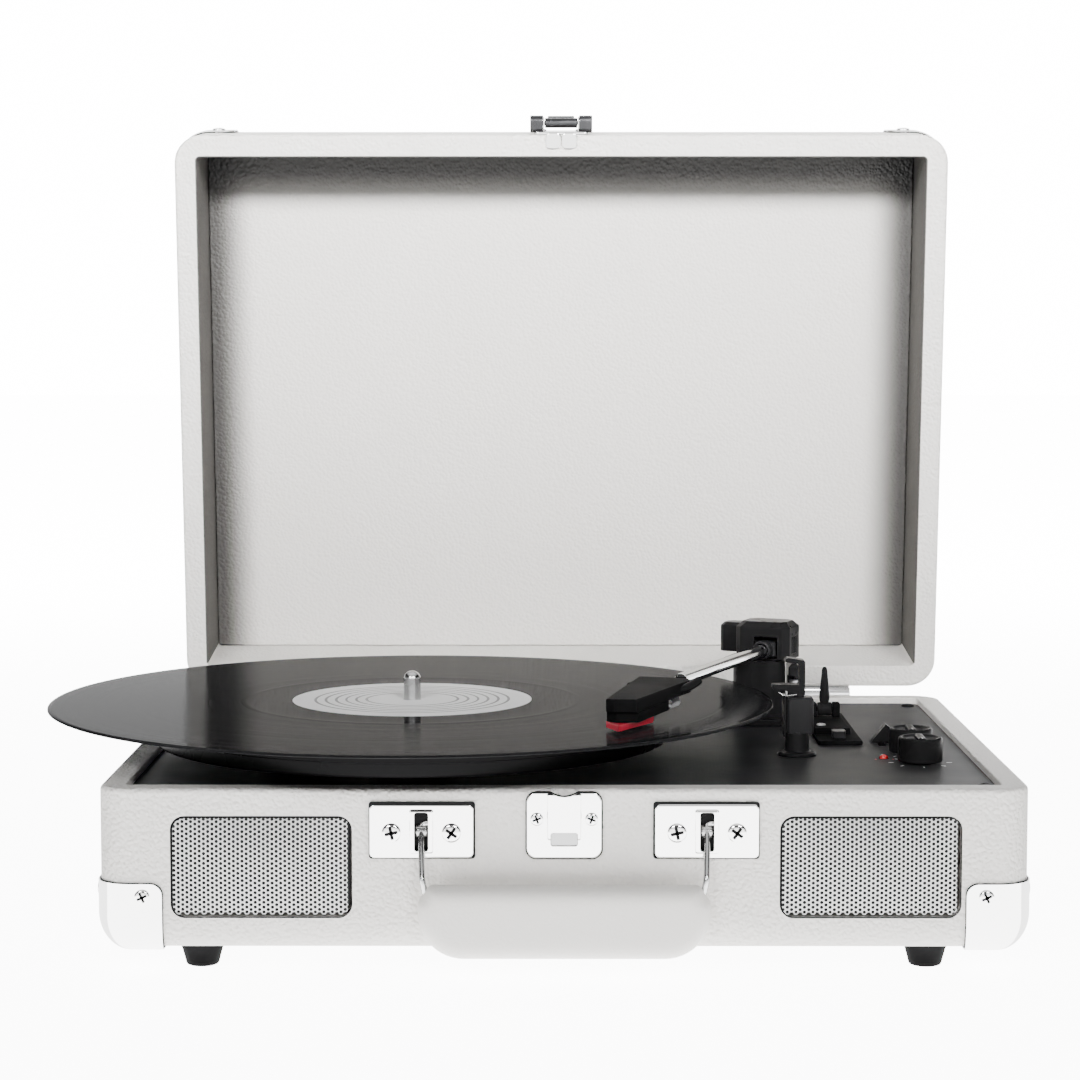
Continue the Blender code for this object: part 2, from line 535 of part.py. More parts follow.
def build_tonearm():
    swing = marker("tonearm_swing_axis", at(PIVOT_X, PIVOT_Y, ARM_Z), (0.0, 0.0, ARM_YAW))
    low, high = 97.5 - ARM_Z, 112.1 - ARM_Z
    yoke = place("tonearm_yoke", to_mesh(box((-14.5, -9.0, low), (10.5, 11.0, high), edge=2.5, top=2.0, steps=2),
                 "yoke"), (0, 0, 0), "plastic", parent=swing)
    join(yoke, box((-24.5, 6.0, low + 1.2), (6.0, 17.0, high - 1.4), edge=1.5, steps=2))
    cut(yoke, box((-5.4, -14.0, -4.2), (5.4, 4.4, 5.4)))
    cut(yoke, swung(rod(1.4, -10.0, 10.0), ("Y", 90)))

    lift = marker("tonearm_lift_axis", (0, 0, 0), parent=swing)
    gimbal = place("tonearm_gimbal", to_mesh(box((-4.8, -11.5, -3.3), (4.8, 3.4, 3.3), edge=1.0, steps=2), "gimbal"),
                   (0, 0, 0), "plastic", parent=lift)
    join(gimbal, swung(rod(1.1, -8.5, 8.5), ("Y", 90)))
    cut(gimbal, swung(rod(TUBE_R + GAP, TUBE_START - 1, 20.0, 24), ("X", 90)))
    place("tonearm_tube", to_mesh(swung(rod(TUBE_R, TUBE_START, TUBE_END, 24), ("X", 90)), "tube"), (0, 0, 0),
          "chrome", parent=lift)

    # The head is drawn square to the case, so its own frame turns the arm's yaw back.
    head = marker("head_frame", (0, 0, 0), (0.0, 0.0, -ARM_YAW), parent=lift)
    offset = Vector((PIVOT_X, PIVOT_Y, ARM_Z))

    def head_prism(name, outline, z_low, z_high, finish):
        bm = prism([(x - offset.x, y - offset.y) for x, y in outline], z_low - offset.z, z_high - offset.z)
        return place(name, to_mesh(bm, name), (0, 0, 0), finish, parent=head)

    shell = head_prism("headshell", [(16.2, 18.9), (19.2, 16.8), (27.9, 16.4), (52.0, 74.8), (50.7, 80.9), (31.3, 85.9)],
                       98.4, 103.4, "plastic")
    finger = prism([(x - offset.x, y - offset.y) for x, y in ((43.4, 66.8), (57.0, 68.8), (58.0, 74.3), (45.4, 76.3))],
                   99.2 - offset.z, 101.6 - offset.z)
    join(shell, finger)
    socket = swung(rod(TUBE_R + GAP, 0.0, TUBE_END + 1.5, 24), ("X", 90))
    cut(shell, swung(socket, ("Z", math.degrees(ARM_YAW))))
    head_prism("cartridge", [(16.6, 21.4), (20.2, 18.0), (28.7, 18.8), (41.9, 51.6), (33.8, 55.7)], 94.2, 98.1, "plastic")
    stylus = head_prism("stylus", [(16.4, 24.4), (20.8, 12.3), (34.8, 36.5), (35.8, 44.6), (29.8, 47.6)], 91.5, 93.9,
                        "stylus")
    needle = turned([(0.0, RECORD_TOP + 0.3), (0.4, RECORD_TOP + 0.9), (0.8, 92.5), (0.0, 92.5)], 12)
    join(stylus, swung(needle, ("Z", 0), (22.2 - offset.x, 17.5 - offset.y, -offset.z)))


def build_lid():
    axis = marker("lid_axis", at(0, HINGE_Y, HINGE_Z), (-LID_OPEN, 0.0, 0.0))
    half = CASE_W / 2
    low, high = LID_BOTTOM - HINGE_Z, LID_TOP - HINGE_Z
    front, back = -HINGE_Y, CASE_D - HINGE_Y
    lid = place("lid_shell", to_mesh(box((-half, front, low), (half, back, high), edge=EDGE_R, bottom=RIM_R,
                top=FLAT_R), "lid"), (0, 0, 0), "leatherette", parent=axis)
    inner = half - WALL
    ceiling = high - LID_SKIN
    cut(lid, box((-inner, front + WALL, low - 5), (inner, back - WALL, ceiling), edge=5.0, steps=3))
    inner -= 0.4
    place("lid_liner", to_mesh(box((-inner, front + WALL + 0.4, ceiling - GAP - 1.5),
          (inner, back - WALL - 0.4, ceiling - GAP), edge=4.6, steps=3), "liner"), (0, 0, 0), "liner", parent=axis)
    for side, hand in ((-1, "left"), (1, "right")):
        for y, end in ((front, "front"), (back, "rear")):
            toward = 1 if y == front else -1
            outer_x, inner_x = side * (half + 5), side * (half - CORNER_REACH)
            outer_y, inner_y = y - 5 * toward, y + CORNER_REACH * toward
            cap = place("corner_lid_%s_%s" % (end, hand), to_mesh(box(
                (min(outer_x, inner_x), min(outer_y, inner_y), high - CORNER_REACH),
                (max(outer_x, inner_x), max(outer_y, inner_y), high + 5)), "corner"), (0, 0, 0), "chrome", parent=axis)
            shaped(cap, lid_box(GAP + 0.8), "INTERSECT")
            cut(cap, lid_box(GAP))
    build_hinges(axis)
    build_latch(axis)


def build_hinges(lid_axis):
    half, knuckle, barrel = HINGE_W / 2, 9.0, 2.3
    face = CASE_D - HINGE_Y + GAP
    for side, hand in ((-1, "left"), (1, "right")):
        x = side * HINGE_X
        leaf = place("hinge_base_" + hand, to_mesh(box((-half, face, 45.0 - HINGE_Z), (half, face + 1.2, -2.8)),
                     "leaf"), at(x, HINGE_Y, HINGE_Z), "steel")
        join(leaf, box((-knuckle, face + 0.1, -5.0), (knuckle, -0.4, 0.2)))
        join(leaf, swung(rod(barrel, -knuckle, knuckle, 20), ("Y", 90)))
        join(leaf, swung(rod(1.0, -half, half), ("Y", 90)))
        flap = place("hinge_lid_" + hand, to_mesh(box((-half, face, 2.0), (half, face + 1.2, 26.0)), "flap"),
                     (x * MM, 0, 0), "steel", parent=lid_axis)
        for start, end in ((-half, -knuckle - 0.4), (knuckle + 0.4, half)):
            join(flap, box((start, face + 0.1, -0.3), (end, -0.2, 4.0)))
            join(flap, swung(rod(barrel, start, end, 20), ("Y", 90)))
        cut(flap, swung(rod(1.25, -half - 2, half + 2), ("Y", 90)))


def build_latch(lid_axis):
    plate_y = (-HINGE_Y) * MM
    plate = place("latch_plate", to_mesh(upright_plate(25.2, 22.0, 2.0, -1.3, -GAP), "plate"),
                  (0, plate_y, (85.5 - HINGE_Z) * MM), "chrome", parent=lid_axis)
    pivot_y, pivot_z = -5.2, -4.5
    for x in (-12.4, 9.6):
        join(plate, box((x, -8.0, pivot_z - 3.4), (x + 2.8, -0.8, pivot_z + 3.6)))
    cut(plate, swung(rod(1.3, -14.0, 14.0), ("Y", 90), (0.0, pivot_y, pivot_z)))
    hasp = place("latch_hasp", to_mesh(swung(rod(1.0, -12.2, 12.2), ("Y", 90)), "hasp"),
                 (0, plate_y + pivot_y * MM, (85.5 + pivot_z - HINGE_Z) * MM), "chrome", parent=lid_axis)
    join(hasp, swung(rod(2.3, -9.2, 9.2, 20), ("Y", 90)))
    join(hasp, box((-6.2, -1.4, 0.4), (6.2, 0.8, 17.5), edge=0.8, steps=2))


clear_scene()
build_case()
build_base_corners()
build_deck()
build_speakers()
build_front_hardware()
build_handle()
build_drive()
build_disc()
build_tonearm_mounts()
build_controls()
build_rear_sockets()
build_tonearm()
build_lid()
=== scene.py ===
import json
import math

import bmesh
import bpy
from mathutils import Matrix, Vector


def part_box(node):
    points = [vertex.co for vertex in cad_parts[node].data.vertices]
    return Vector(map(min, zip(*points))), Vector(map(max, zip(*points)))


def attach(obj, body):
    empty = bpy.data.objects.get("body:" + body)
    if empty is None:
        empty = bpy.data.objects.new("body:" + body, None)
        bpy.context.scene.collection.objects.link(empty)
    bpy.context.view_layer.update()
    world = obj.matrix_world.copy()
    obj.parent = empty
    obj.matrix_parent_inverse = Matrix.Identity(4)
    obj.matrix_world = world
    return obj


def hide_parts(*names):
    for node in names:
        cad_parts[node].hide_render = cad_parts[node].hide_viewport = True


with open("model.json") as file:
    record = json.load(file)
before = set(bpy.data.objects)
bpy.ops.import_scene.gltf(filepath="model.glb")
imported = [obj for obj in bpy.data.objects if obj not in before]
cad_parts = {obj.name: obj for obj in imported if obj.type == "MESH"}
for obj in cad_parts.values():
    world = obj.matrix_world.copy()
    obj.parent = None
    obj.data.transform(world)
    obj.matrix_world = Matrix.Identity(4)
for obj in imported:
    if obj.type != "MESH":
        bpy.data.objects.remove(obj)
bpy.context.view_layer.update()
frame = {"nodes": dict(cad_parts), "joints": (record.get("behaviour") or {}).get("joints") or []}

# Every piece is drawn in millimetres: X from the case's middle to the right, Y from its front face to
# the back, Z up from the floor. The lid's pieces are drawn with the lid shut and turned open about its
# hinge, and the tonearm's are drawn along -Y from its pivot and turned to where the arm stands.
MM = 0.001
CASE_LOW, CASE_HIGH = (Vector(corner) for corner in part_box("base_case"))
ORIGIN = Vector(((CASE_LOW.x + CASE_HIGH.x) / 2, CASE_LOW.y, 0.0))
JOINTS = {joint["name"]: joint for joint in frame["joints"]}
ARC = 8                        # steps in a quarter turn
GAP = 0.3                      # between the covering and the hardware on it
EDGE, CORNER = 12.0, 13.0      # rounding of the case's flat edges and of its upright edges
BASE_EDGE = 4.5                # rounding of the base's front and back bottom edges, seen from the side
PRESSED = 0.8                  # thickness of a corner protector
WIRE_X = 54.2                  # from the middle of the case to each wire of the handle
LID_OPEN = 84.0                # degrees from shut to where the lid stands at rest
SIDES = ((-1, "left"), (1, "right"))


def spot(point):
    """A point of the frame, in metres, as millimetres of the drawing."""
    return (Vector(point) - ORIGIN) / MM


def span(node):
    """The box of a CAD node at rest, in the drawing's millimetres."""
    low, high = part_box(node)
    return spot(low), spot(high)


CASE = (span("base_case")[1].x, span("base_case")[1].y)
RIM, BOTTOM = span("base_case")[1].z, span("base_case")[0].z
WALL = 10.2                    # width of the rim round the mouth
HINGE = spot(JOINTS["lid_hinge"]["pos_m"])
PIVOT = spot(JOINTS["arm_swing"]["pos_m"])
DISC = spot(JOINTS["platter_spin"]["pos_m"])
LEVER = spot(JOINTS["cue_turn"]["pos_m"])
RECORD_TOP = span("record")[1].z
DECK = span("deck_plate")[1].z
ARM_YAW = -math.atan2(JOINTS["arm_lift"]["axis"][1], -JOINTS["arm_lift"]["axis"][0])
LID_LOW, LID_HIGH = 72.1, 122.1    # rim and flat top of the lid when it is shut

TO_FRAME = Matrix.Translation(ORIGIN) @ Matrix.Scale(MM, 4)
LID = Matrix.Translation(HINGE) @ Matrix.Rotation(-math.radians(LID_OPEN), 4,
                                                  "X") @ Matrix.Translation(-HINGE)
ARM = Matrix.Translation(PIVOT) @ Matrix.Rotation(ARM_YAW, 4, "Z")
HERE = Matrix.Identity(4)


# ---- materials

def shader_of(name, colour, roughness, metallic=0.0, **sockets):
    material = bpy.data.materials.new(name)
    material.use_nodes = True
    tree = material.node_tree
    shader = tree.nodes["Principled BSDF"]
    shader.inputs["Base Color"].default_value = (*colour, 1.0)
    shader.inputs["Roughness"].default_value = roughness
    shader.inputs["Metallic"].default_value = metallic
    for socket, value in sockets.items():
        shader.inputs[socket.replace("_", " ")].default_value = value
    return material, tree, shader


def node(tree, kind, links=(), **values):
    """A new node with its properties and socket values set. Links are (from socket, to socket name)."""
    made = tree.nodes.new(kind)
    for key, value in values.items():
        if key in made.inputs:
            made.inputs[key].default_value = value
        else:
            setattr(made, key, value)
    for source, target in links:
        tree.links.new(source, made.inputs[target])
    return made


def place_of(tree):
    return node(tree, "ShaderNodeTexCoord").outputs["Object"]


def tint(tree, shader, factor, dark, light):
    """The base colour runs from dark to light with a factor."""
    mix = node(tree, "ShaderNodeMix", data_type="RGBA")
    mix.inputs[6].default_value = (*dark, 1.0)
    mix.inputs[7].default_value = (*light, 1.0)
    tree.links.new(factor, mix.inputs["Factor"])
    tree.links.new(mix.outputs[2], shader.inputs["Base Color"])


def noise(tree, where, scale, detail):
    return node(tree, "ShaderNodeTexNoise", [(where, "Vector")], Scale=scale, Detail=detail).outputs


def maths(tree, operation, *values, kind="ShaderNodeMath"):
    """The result of a math node; each value is a socket or a number."""
    made = node(tree, kind, operation=operation)
    for index, value in enumerate(values):
        if isinstance(value, bpy.types.NodeSocket):
            tree.links.new(value, made.inputs[index])
        else:
            made.inputs[index].default_value = value
    return made.outputs["Value" if operation == "LENGTH" else 0]


def vector_maths(tree, operation, *values):
    return maths(tree, operation, *values, kind="ShaderNodeVectorMath")


def ranged(tree, factor, limits, interpolation="SMOOTHSTEP"):
    """A factor mapped between two ranges: limits are from low, from high, to low and to high."""
    made = node(tree, "ShaderNodeMapRange", [(factor, "Value")], interpolation_type=interpolation)
    for socket, limit in zip(("From Min", "From Max", "To Min", "To Max"), limits):
        made.inputs[socket].default_value = limit
    return made.outputs["Result"]


def rough(tree, shader, factor, low, high):
    tree.links.new(ranged(tree, factor, (0.0, 1.0, low, high), "LINEAR"), shader.inputs["Roughness"])


def relief(tree, shader, height, strength, depth, under=None):
    """A bump of that depth in metres, laid over another bump if one is given."""
    bump = node(tree, "ShaderNodeBump", [(height, "Height")], Strength=strength, Distance=depth)
    if under:
        tree.links.new(under.outputs["Normal"], bump.inputs["Normal"])
    tree.links.new(bump.outputs["Normal"], shader.inputs["Normal"])
    return bump


def moulded(name, colour, roughness, grain=1500.0, depth=0.00004, spread=0.18, metallic=0.0, **sockets):
    """Moulded plastic, rubber or metal: a little mottled, finely grained."""
    material, tree, shader = shader_of(name, colour, roughness, metallic, **sockets)
    where = place_of(tree)
    broad = noise(tree, where, 45.0, 4.0)["Fac"]
    dark, light = [c * (1 - spread) for c in colour], [min(1.0, c * (1 + spread)) for c in colour]
    tint(tree, shader, broad, dark, light)
    rough(tree, shader, broad, roughness * 0.85, min(1.0, roughness * 1.15))
    relief(tree, shader, noise(tree, where, grain, 2.0)["Fac"], 0.5, depth)
    return material


def leather(name, colour, shade, depth=0.0007, cell=640.0, roughness=0.46, ior=1.4):
    """Pale pebbled leatherette: rounded cells, pulled about by noise, with soft broad waves."""
    material, tree, shader = shader_of(name, colour, roughness, 0.0, IOR=ior)
    where = place_of(tree)
    drift = noise(tree, where, 260.0, 2.0)["Color"]
    pull = node(tree, "ShaderNodeVectorMath", [(drift, 0)], operation="SCALE", Scale=0.0016)
    moved = vector_maths(tree, "ADD", where, pull.outputs["Vector"])
    cells = node(tree, "ShaderNodeTexVoronoi", [(moved, "Vector")], feature="SMOOTH_F1", Scale=cell,
                 Smoothness=0.4)
    distance = cells.outputs["Distance"]
    tint(tree, shader, noise(tree, where, 9.0, 3.0)["Fac"], shade, colour)
    rough(tree, shader, distance, roughness - 0.06, roughness + 0.14)
    under = relief(tree, shader, noise(tree, where, 130.0, 3.0)["Fac"], 0.35, 0.0006)
    relief(tree, shader, maths(tree, "SUBTRACT", 1.0, distance), 0.8, depth, under)
    return material


def polished(name, colour, roughness, brushed=0.0):
    """Plated or brushed metal with faint smears."""
    material, tree, shader = shader_of(name, colour, roughness, 1.0)
    where = place_of(tree)
    smear = noise(tree, where, 70.0, 5.0)["Fac"]
    rough(tree, shader, smear, roughness * 0.6, roughness * 1.6)
    tint(tree, shader, smear, [c * 0.95 for c in colour], colour)
    wave = noise(tree, where, 900.0 if brushed else 55.0, 1.0)["Fac"]
    relief(tree, shader, wave, 0.25, brushed or 0.00012)
    return material


def radius_from(tree, centre, scale):
    """Distance from an upright axis through a point in millimetres, times a scale."""
    offset = ORIGIN + Vector(centre) * MM
    away = vector_maths(tree, "SUBTRACT", place_of(tree), (offset.x, offset.y, 0.0))
    flat = vector_maths(tree, "MULTIPLY", away, (1.0, 1.0, 0.0))
    return maths(tree, "MULTIPLY", vector_maths(tree, "LENGTH", flat), scale)


def ramp(tree, factor, stops, interpolation="LINEAR"):
    made = node(tree, "ShaderNodeValToRGB", [(factor, "Fac")])
    made.color_ramp.interpolation = interpolation
    while len(made.color_ramp.elements) < len(stops):
        made.color_ramp.elements.new(0.5)
    for element, (position, value) in zip(made.color_ramp.elements, stops):
        element.position = position
        element.color = (value, value, value, 1.0)
    return made.outputs["Color"]


def vinyl():
    """Pressed vinyl: fine grooves in bands, with smooth gaps between the tracks."""
    material, tree, shader = shader_of("vinyl", (0.010, 0.010, 0.011), 0.2, 0.0, IOR=1.018)
    radius = radius_from(tree, DISC, 1.0 / 0.1508)
    grooves = node(tree, "ShaderNodeTexNoise", [(radius, "W")], noise_dimensions="1D", Scale=210.0,
                   Detail=2.0)
    bands = node(tree, "ShaderNodeTexNoise", [(radius, "W")], noise_dimensions="1D", Scale=26.0, Detail=2.0)
    gaps = ramp(tree, radius, [(0.0, 0), (0.455, 0), (0.46, 1), (0.558, 1), (0.562, 0), (0.566, 1),
                               (0.655, 1),
                               (0.659, 0), (0.663, 1), (0.752, 1), (0.756, 0), (0.76, 1), (0.862, 1),
                               (0.866, 0), (0.87, 1), (0.965, 1), (0.97, 0), (1.0, 0)])
    tint(tree, shader, bands.outputs["Fac"], (0.009, 0.009, 0.010), (0.020, 0.020, 0.021))
    rough(tree, shader, gaps, 0.05, 0.13)
    relief(tree, shader, maths(tree, "MULTIPLY", grooves.outputs["Fac"], gaps), 0.35, 0.00008)
    return material


def label_paper():
    """A plain pale label with printed rings."""
    material, tree, shader = shader_of("label_paper", (0.62, 0.62, 0.61), 0.55)
    radius = radius_from(tree, DISC, 1.0 / 0.050)
    stops = [(0.0, 0.80), (0.36, 0.80)]
    for k in range(6):
        start = 0.37 + 0.085 * k
        stops += [(start, 0.20), (start + 0.022, 0.80)]
    rings = ramp(tree, radius, stops, "CONSTANT")
    tree.links.new(rings, shader.inputs["Base Color"])
    relief(tree, shader, noise(tree, place_of(tree), 2500.0, 3.0)["Fac"], 0.3, 0.00003)
    return material


def lining_cloth():
    """The lid's lining: pebbled like the case, with painted shade towards its top and side edges, where the
    lid's walls would shade it.
    """
    material = leather("lining", (0.70, 0.675, 0.64), (0.665, 0.64, 0.605), depth=0.0005)
    tree = material.node_tree
    shader = tree.nodes["Principled BSDF"]
    low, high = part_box("lid_liner")
    axes = node(tree, "ShaderNodeSeparateXYZ", [(place_of(tree), "Vector")]).outputs
    sideways = maths(tree, "ABSOLUTE", maths(tree, "SUBTRACT", axes["X"], ORIGIN.x))
    reach = (high[0] - low[0]) / 2
    # Painted shade: masks that darken the lining near its side edges, clearing 22 mm in, and near its top
    # edge, clearing 28 mm in.
    side = ranged(tree, sideways, (reach - 0.002, reach - 0.022, 0.12, 1.0))
    top = ranged(tree, axes["Z"], (high[2] - 0.007, high[2] - 0.028, 0.06, 1.0))
    source = shader.inputs["Base Color"].links[0].from_socket
    painted_shade = node(tree, "ShaderNodeMix", [(source, 6), (maths(tree, "MULTIPLY", side, top), 7)],
                  data_type="RGBA", blend_type="MULTIPLY")
    painted_shade.inputs["Factor"].default_value = 1.0
    tree.links.new(painted_shade.outputs[2], shader.inputs["Base Color"])
    return material


LEATHER = leather("leatherette", (0.80, 0.777, 0.742), (0.765, 0.742, 0.708))
LINING = lining_cloth()
# The lid's inner walls: a darker grey lining, made near black besides as painted shade for the shadow these
# walls stand in.
LID_WALL = leather("lid_wall", (0.115, 0.111, 0.105), (0.095, 0.092, 0.087), depth=0.0003, roughness=0.8,
                   ior=1.12)
GRIP_SKIN = leather("grip_skin", (0.77, 0.748, 0.715), (0.74, 0.718, 0.685), depth=0.00012, cell=800.0)
CHROME = polished("chrome_plate", (0.93, 0.925, 0.915), 0.07)
NICKEL = polished("dark_nickel", (0.34, 0.34, 0.34), 0.24)
STEEL = polished("brushed_steel", (0.62, 0.62, 0.63), 0.28, 0.00003)
GRILLE = moulded("grille_metal", (0.50, 0.50, 0.495), 0.34, depth=0.00001, spread=0.04, metallic=0.35)
CLOTH = moulded("speaker_cloth", (0.012, 0.012, 0.012), 0.9)
DECK_BLACK = moulded("deck_black", (0.024, 0.024, 0.025), 0.42, grain=2600.0, depth=0.00003, IOR=1.105)
BLACK = moulded("black_plastic", (0.011, 0.011, 0.0115), 0.28, IOR=1.1)
MATT = moulded("matt_black", (0.006, 0.006, 0.0065), 0.5, IOR=1.035)
OXIDE = polished("dark_plating", (0.045, 0.045, 0.047), 0.3)
WIRE = moulded("steel_wire", (0.46, 0.46, 0.46), 0.22, depth=0.000002, metallic=1.0)
GREY = moulded("dark_grey_plastic", (0.016, 0.016, 0.017), 0.38, IOR=1.18)
RUBBER = moulded("rubber_black", (0.006, 0.006, 0.0065), 0.7, grain=900.0, depth=0.00006, IOR=1.2)
FELT = moulded("mat_black", (0.005, 0.005, 0.005), 0.95, grain=1800.0, depth=0.00015, IOR=1.1)
RED = moulded("stylus_red", (0.62, 0.02, 0.05), 0.22, depth=0.00001, spread=0.1)
LENS = moulded("lamp_red", (0.75, 0.02, 0.02), 0.12, depth=0.000005, spread=0.1, Coat_Weight=0.5)
BOARD = moulded("board_green", (0.02, 0.16, 0.07), 0.5)
WHITE_MARK = moulded("white_print", (0.70, 0.70, 0.70), 0.5, spread=0.05)
RED_MARK = moulded("red_print", (0.55, 0.06, 0.06), 0.5, spread=0.05)
BRASS = polished("brass_contact", (0.83, 0.62, 0.28), 0.2)
VINYL, LABEL = vinyl(), label_paper()

# The finish slot that each material stands in, unless a piece names another.
SLOTS = {"leatherette": (LEATHER, GRIP_SKIN), "liner": (LINING,), "grille": (GRILLE,), "mat": (FELT,),
         "chrome": (CHROME, OXIDE, WIRE, WHITE_MARK), "steel": (STEEL, NICKEL, BRASS), "rubber": (RUBBER,),
         "black_plastic": (BLACK, GREY, MATT, CLOTH), "vinyl": (VINYL, LABEL), "lamp": (LENS, RED_MARK),
         "stylus": (RED,)}


# ---- drawing

def arc_points(cx, cy, radius, start, stop, steps):
    turns = [math.radians(start + (stop - start) * k / steps) for k in range(steps + 1)]
    return [(cx + radius * math.cos(turn), cy + radius * math.sin(turn)) for turn in turns]


def rounded(x0, x1, y0, y1, radius, steps=ARC):
    """A rectangle with round corners, as points anticlockwise."""
    r = max(0.02, min(radius, (x1 - x0) / 2 - 0.01, (y1 - y0) / 2 - 0.01))
    return (arc_points(x1 - r, y0 + r, r, -90, 0, steps) + arc_points(x1 - r, y1 - r, r, 0, 90, steps)
            + arc_points(x0 + r, y1 - r, r, 90, 180, steps) + arc_points(x0 + r, y0 + r, r, 180, 270, steps))


def skin(rings):
    """A closed body skinned over rings of points, with flat first and last rings."""
    bm = bmesh.new()
    rows = [[bm.verts.new(point) for point in ring] for ring in rings]
    for first, second in zip(rows, rows[1:]):
        for k in range(len(first)):
            after = (k + 1) % len(first)
            bm.faces.new((first[k], first[after], second[after], second[k]))
    bm.faces.new(rows[0][::-1])
    bm.faces.new(rows[-1])
    return settle(bm)


def settle(bm):
    """Merges doubled points and turns the faces out."""
    bmesh.ops.remove_doubles(bm, verts=bm.verts, dist=0.0005)
    bmesh.ops.dissolve_degenerate(bm, edges=bm.edges, dist=0.0002)
    bmesh.ops.recalc_face_normals(bm, faces=bm.faces)
    if bm.calc_volume(signed=True) < 0.0:
        bmesh.ops.reverse_faces(bm, faces=bm.faces)
    return bm


def quarter(steps):
    """The sine and cosine at each step of a quarter turn."""
    leans = [math.radians(90.0 * k / max(steps, 1)) for k in range(steps + 1)]
    return [(math.sin(lean), math.cos(lean)) for lean in leans]


def soft_edges(thickness, near, far, steps=5):
    """(inset, depth) pairs through a slab whose near and far edges are rounded."""
    rows = [(near * (1 - sine), near * (1 - cosine)) for sine, cosine in quarter(steps if near else 0)]
    return rows + [(far * (1 - cosine), thickness - far + far * sine)
                   for sine, cosine in quarter(steps if far else 0)]


def block(x0, x1, y0, y1, z0, z1, side=1.0, low=0.4, high=0.4, steps=ARC):
    """A box with rounded upright edges, and rounded edges round its bottom and top."""
    rings = []
    for inset, height in soft_edges(z1 - z0, low, high):
        outline = rounded(x0 + inset, x1 - inset, y0 + inset, y1 - inset, side - inset, steps)
        rings.append([(x, y, z0 + height) for x, y in outline])
    return skin(rings)


def facet(x0, x1, y0, y1, z0, z1, corner=1.0, top=1.0):
    """A box with flat cuts down its upright edges and round its top."""
    def ring(inset, z):
        a, b, c, d, k = x0 + inset, x1 - inset, y0 + inset, y1 - inset, corner
        return [(a + k, c, z), (b - k, c, z), (b, c + k, z), (b, d - k, z), (b - k, d, z), (a + k, d, z),
                (a, d - k, z), (a, c + k, z)]
    return skin([ring(0.0, z0), ring(0.0, z1 - top), ring(top, z1)])


def face_plate(x0, x1, z0, z1, corner, back, front, edge=0.3, steps=ARC):
    """A plate standing in the XZ plane, from y = back to y = front, towards the viewer."""
    rings = []
    for inset, depth in soft_edges(back - front, 0.0, edge):
        outline = rounded(x0 + inset, x1 - inset, z0 + inset, z1 - inset, corner - inset, steps)
        rings.append([(x, back - depth, z) for x, z in outline])
    return skin(rings)


def window(x, half_w, z0, z1):
    """A cutter through the plates on the front face."""
    return face_plate(x - half_w, x + half_w, z0, z1, 1.0, 6.0, -9.0, 0.0)


def slab(outline, z0, z1, edge=0.3):
    """An upright prism on any outline, with its top edge drawn in a little."""
    cx = sum(x for x, _ in outline) / len(outline)
    cy = sum(y for _, y in outline) / len(outline)
    rings = [[(x, y, z0) for x, y in outline]]
    for inset, depth in soft_edges(z1 - z0, 0.0, edge, 3):
        ring = []
        for x, y in outline:
            reach = math.hypot(x - cx, y - cy)
            keep = (reach - inset) / reach
            ring.append((cx + (x - cx) * keep, cy + (y - cy) * keep, z0 + depth))
        rings.append(ring)
    return skin(rings[1:] if rings[1][0][2] == z0 else rings)


def lathe(profile, steps=64):
    """A body of revolution about Z; the profile is (radius, height) and closes on itself or on the axis."""
    bm = bmesh.new()
    rows = []
    for k in range(steps):
        turn = 2 * math.pi * k / steps
        rows.append([bm.verts.new((r * math.cos(turn), r * math.sin(turn), z)) for r, z in profile])
    for k in range(steps):
        one, two = rows[k], rows[(k + 1) % steps]
        for j in range(len(profile)):
            after = (j + 1) % len(profile)
            if profile[j][0] or profile[after][0]:
                bm.faces.new((one[j], two[j], two[after], one[after]))
    return settle(bm)


def rod(radius, length, edge=0.2, steps=32):
    """A round bar along +Z from 0 to length, with eased ends."""
    rows = [(radius - inset, depth) for inset, depth in soft_edges(length, edge, edge, 3)]
    return lathe([(0.0, 0.0)] + rows + [(0.0, length)], steps)


def tube_along(points, radius, steps=16):
    """A round wire along points, with its ring kept square to the path."""
    rings = []
    across = None
    for k, point in enumerate(points):
        ahead = (Vector(points[min(k + 1, len(points) - 1)]) - Vector(points[max(k - 1, 0)])).normalized()
        if across is None:
            across = ahead.orthogonal().normalized()
        across = (across - ahead * across.dot(ahead)).normalized()
        up = ahead.cross(across)
        turns = [2 * math.pi * j / steps for j in range(steps)]
        rings.append([Vector(point) + radius * (across * math.cos(turn) + up * math.sin(turn))
                      for turn in turns])
    return skin(rings)


def bend(points, radius, steps=8):
    """Straight runs with rounded corners."""
    path = [Vector(points[0])]
    for before, corner, after in zip(points, points[1:], points[2:]):
        corner = Vector(corner)
        start = corner + (Vector(before) - corner).normalized() * radius
        end = corner + (Vector(after) - corner).normalized() * radius
        for k in range(steps + 1):
            t = k / steps
            path.append(start * (1 - t) ** 2 + corner * 2 * t * (1 - t) + end * t ** 2)
    return path + [Vector(points[-1])]


def put(bm, *steps):
    """Turns and shifts a drawing: each step is ("X", degrees) or a point to move by."""
    for step in steps:
        if isinstance(step[0], str):
            bm.transform(Matrix.Rotation(math.radians(step[1]), 4, step[0]))
        else:
            bm.transform(Matrix.Translation(step))
    return bm


def mesh_of(bm, name="part"):
    """A mesh from a drawing, which is used up."""
    mesh = bpy.data.meshes.new(name)
    bm.to_mesh(mesh)
    bm.free()
    return mesh


def add(name, data):
    """A new object of the scene."""
    item = bpy.data.objects.new(name, data)
    bpy.context.scene.collection.objects.link(item)
    return item


def axle(radius, length, edge, start):
    """A rod along X from a starting point."""
    return put(rod(radius, length, edge), ("Y", 90), start)


def together(*drawings):
    """Several drawings as one, side by side."""
    whole = bmesh.new()
    for bm in drawings:
        mesh = mesh_of(bm)
        whole.from_mesh(mesh)
        bpy.data.meshes.remove(mesh)
    return whole


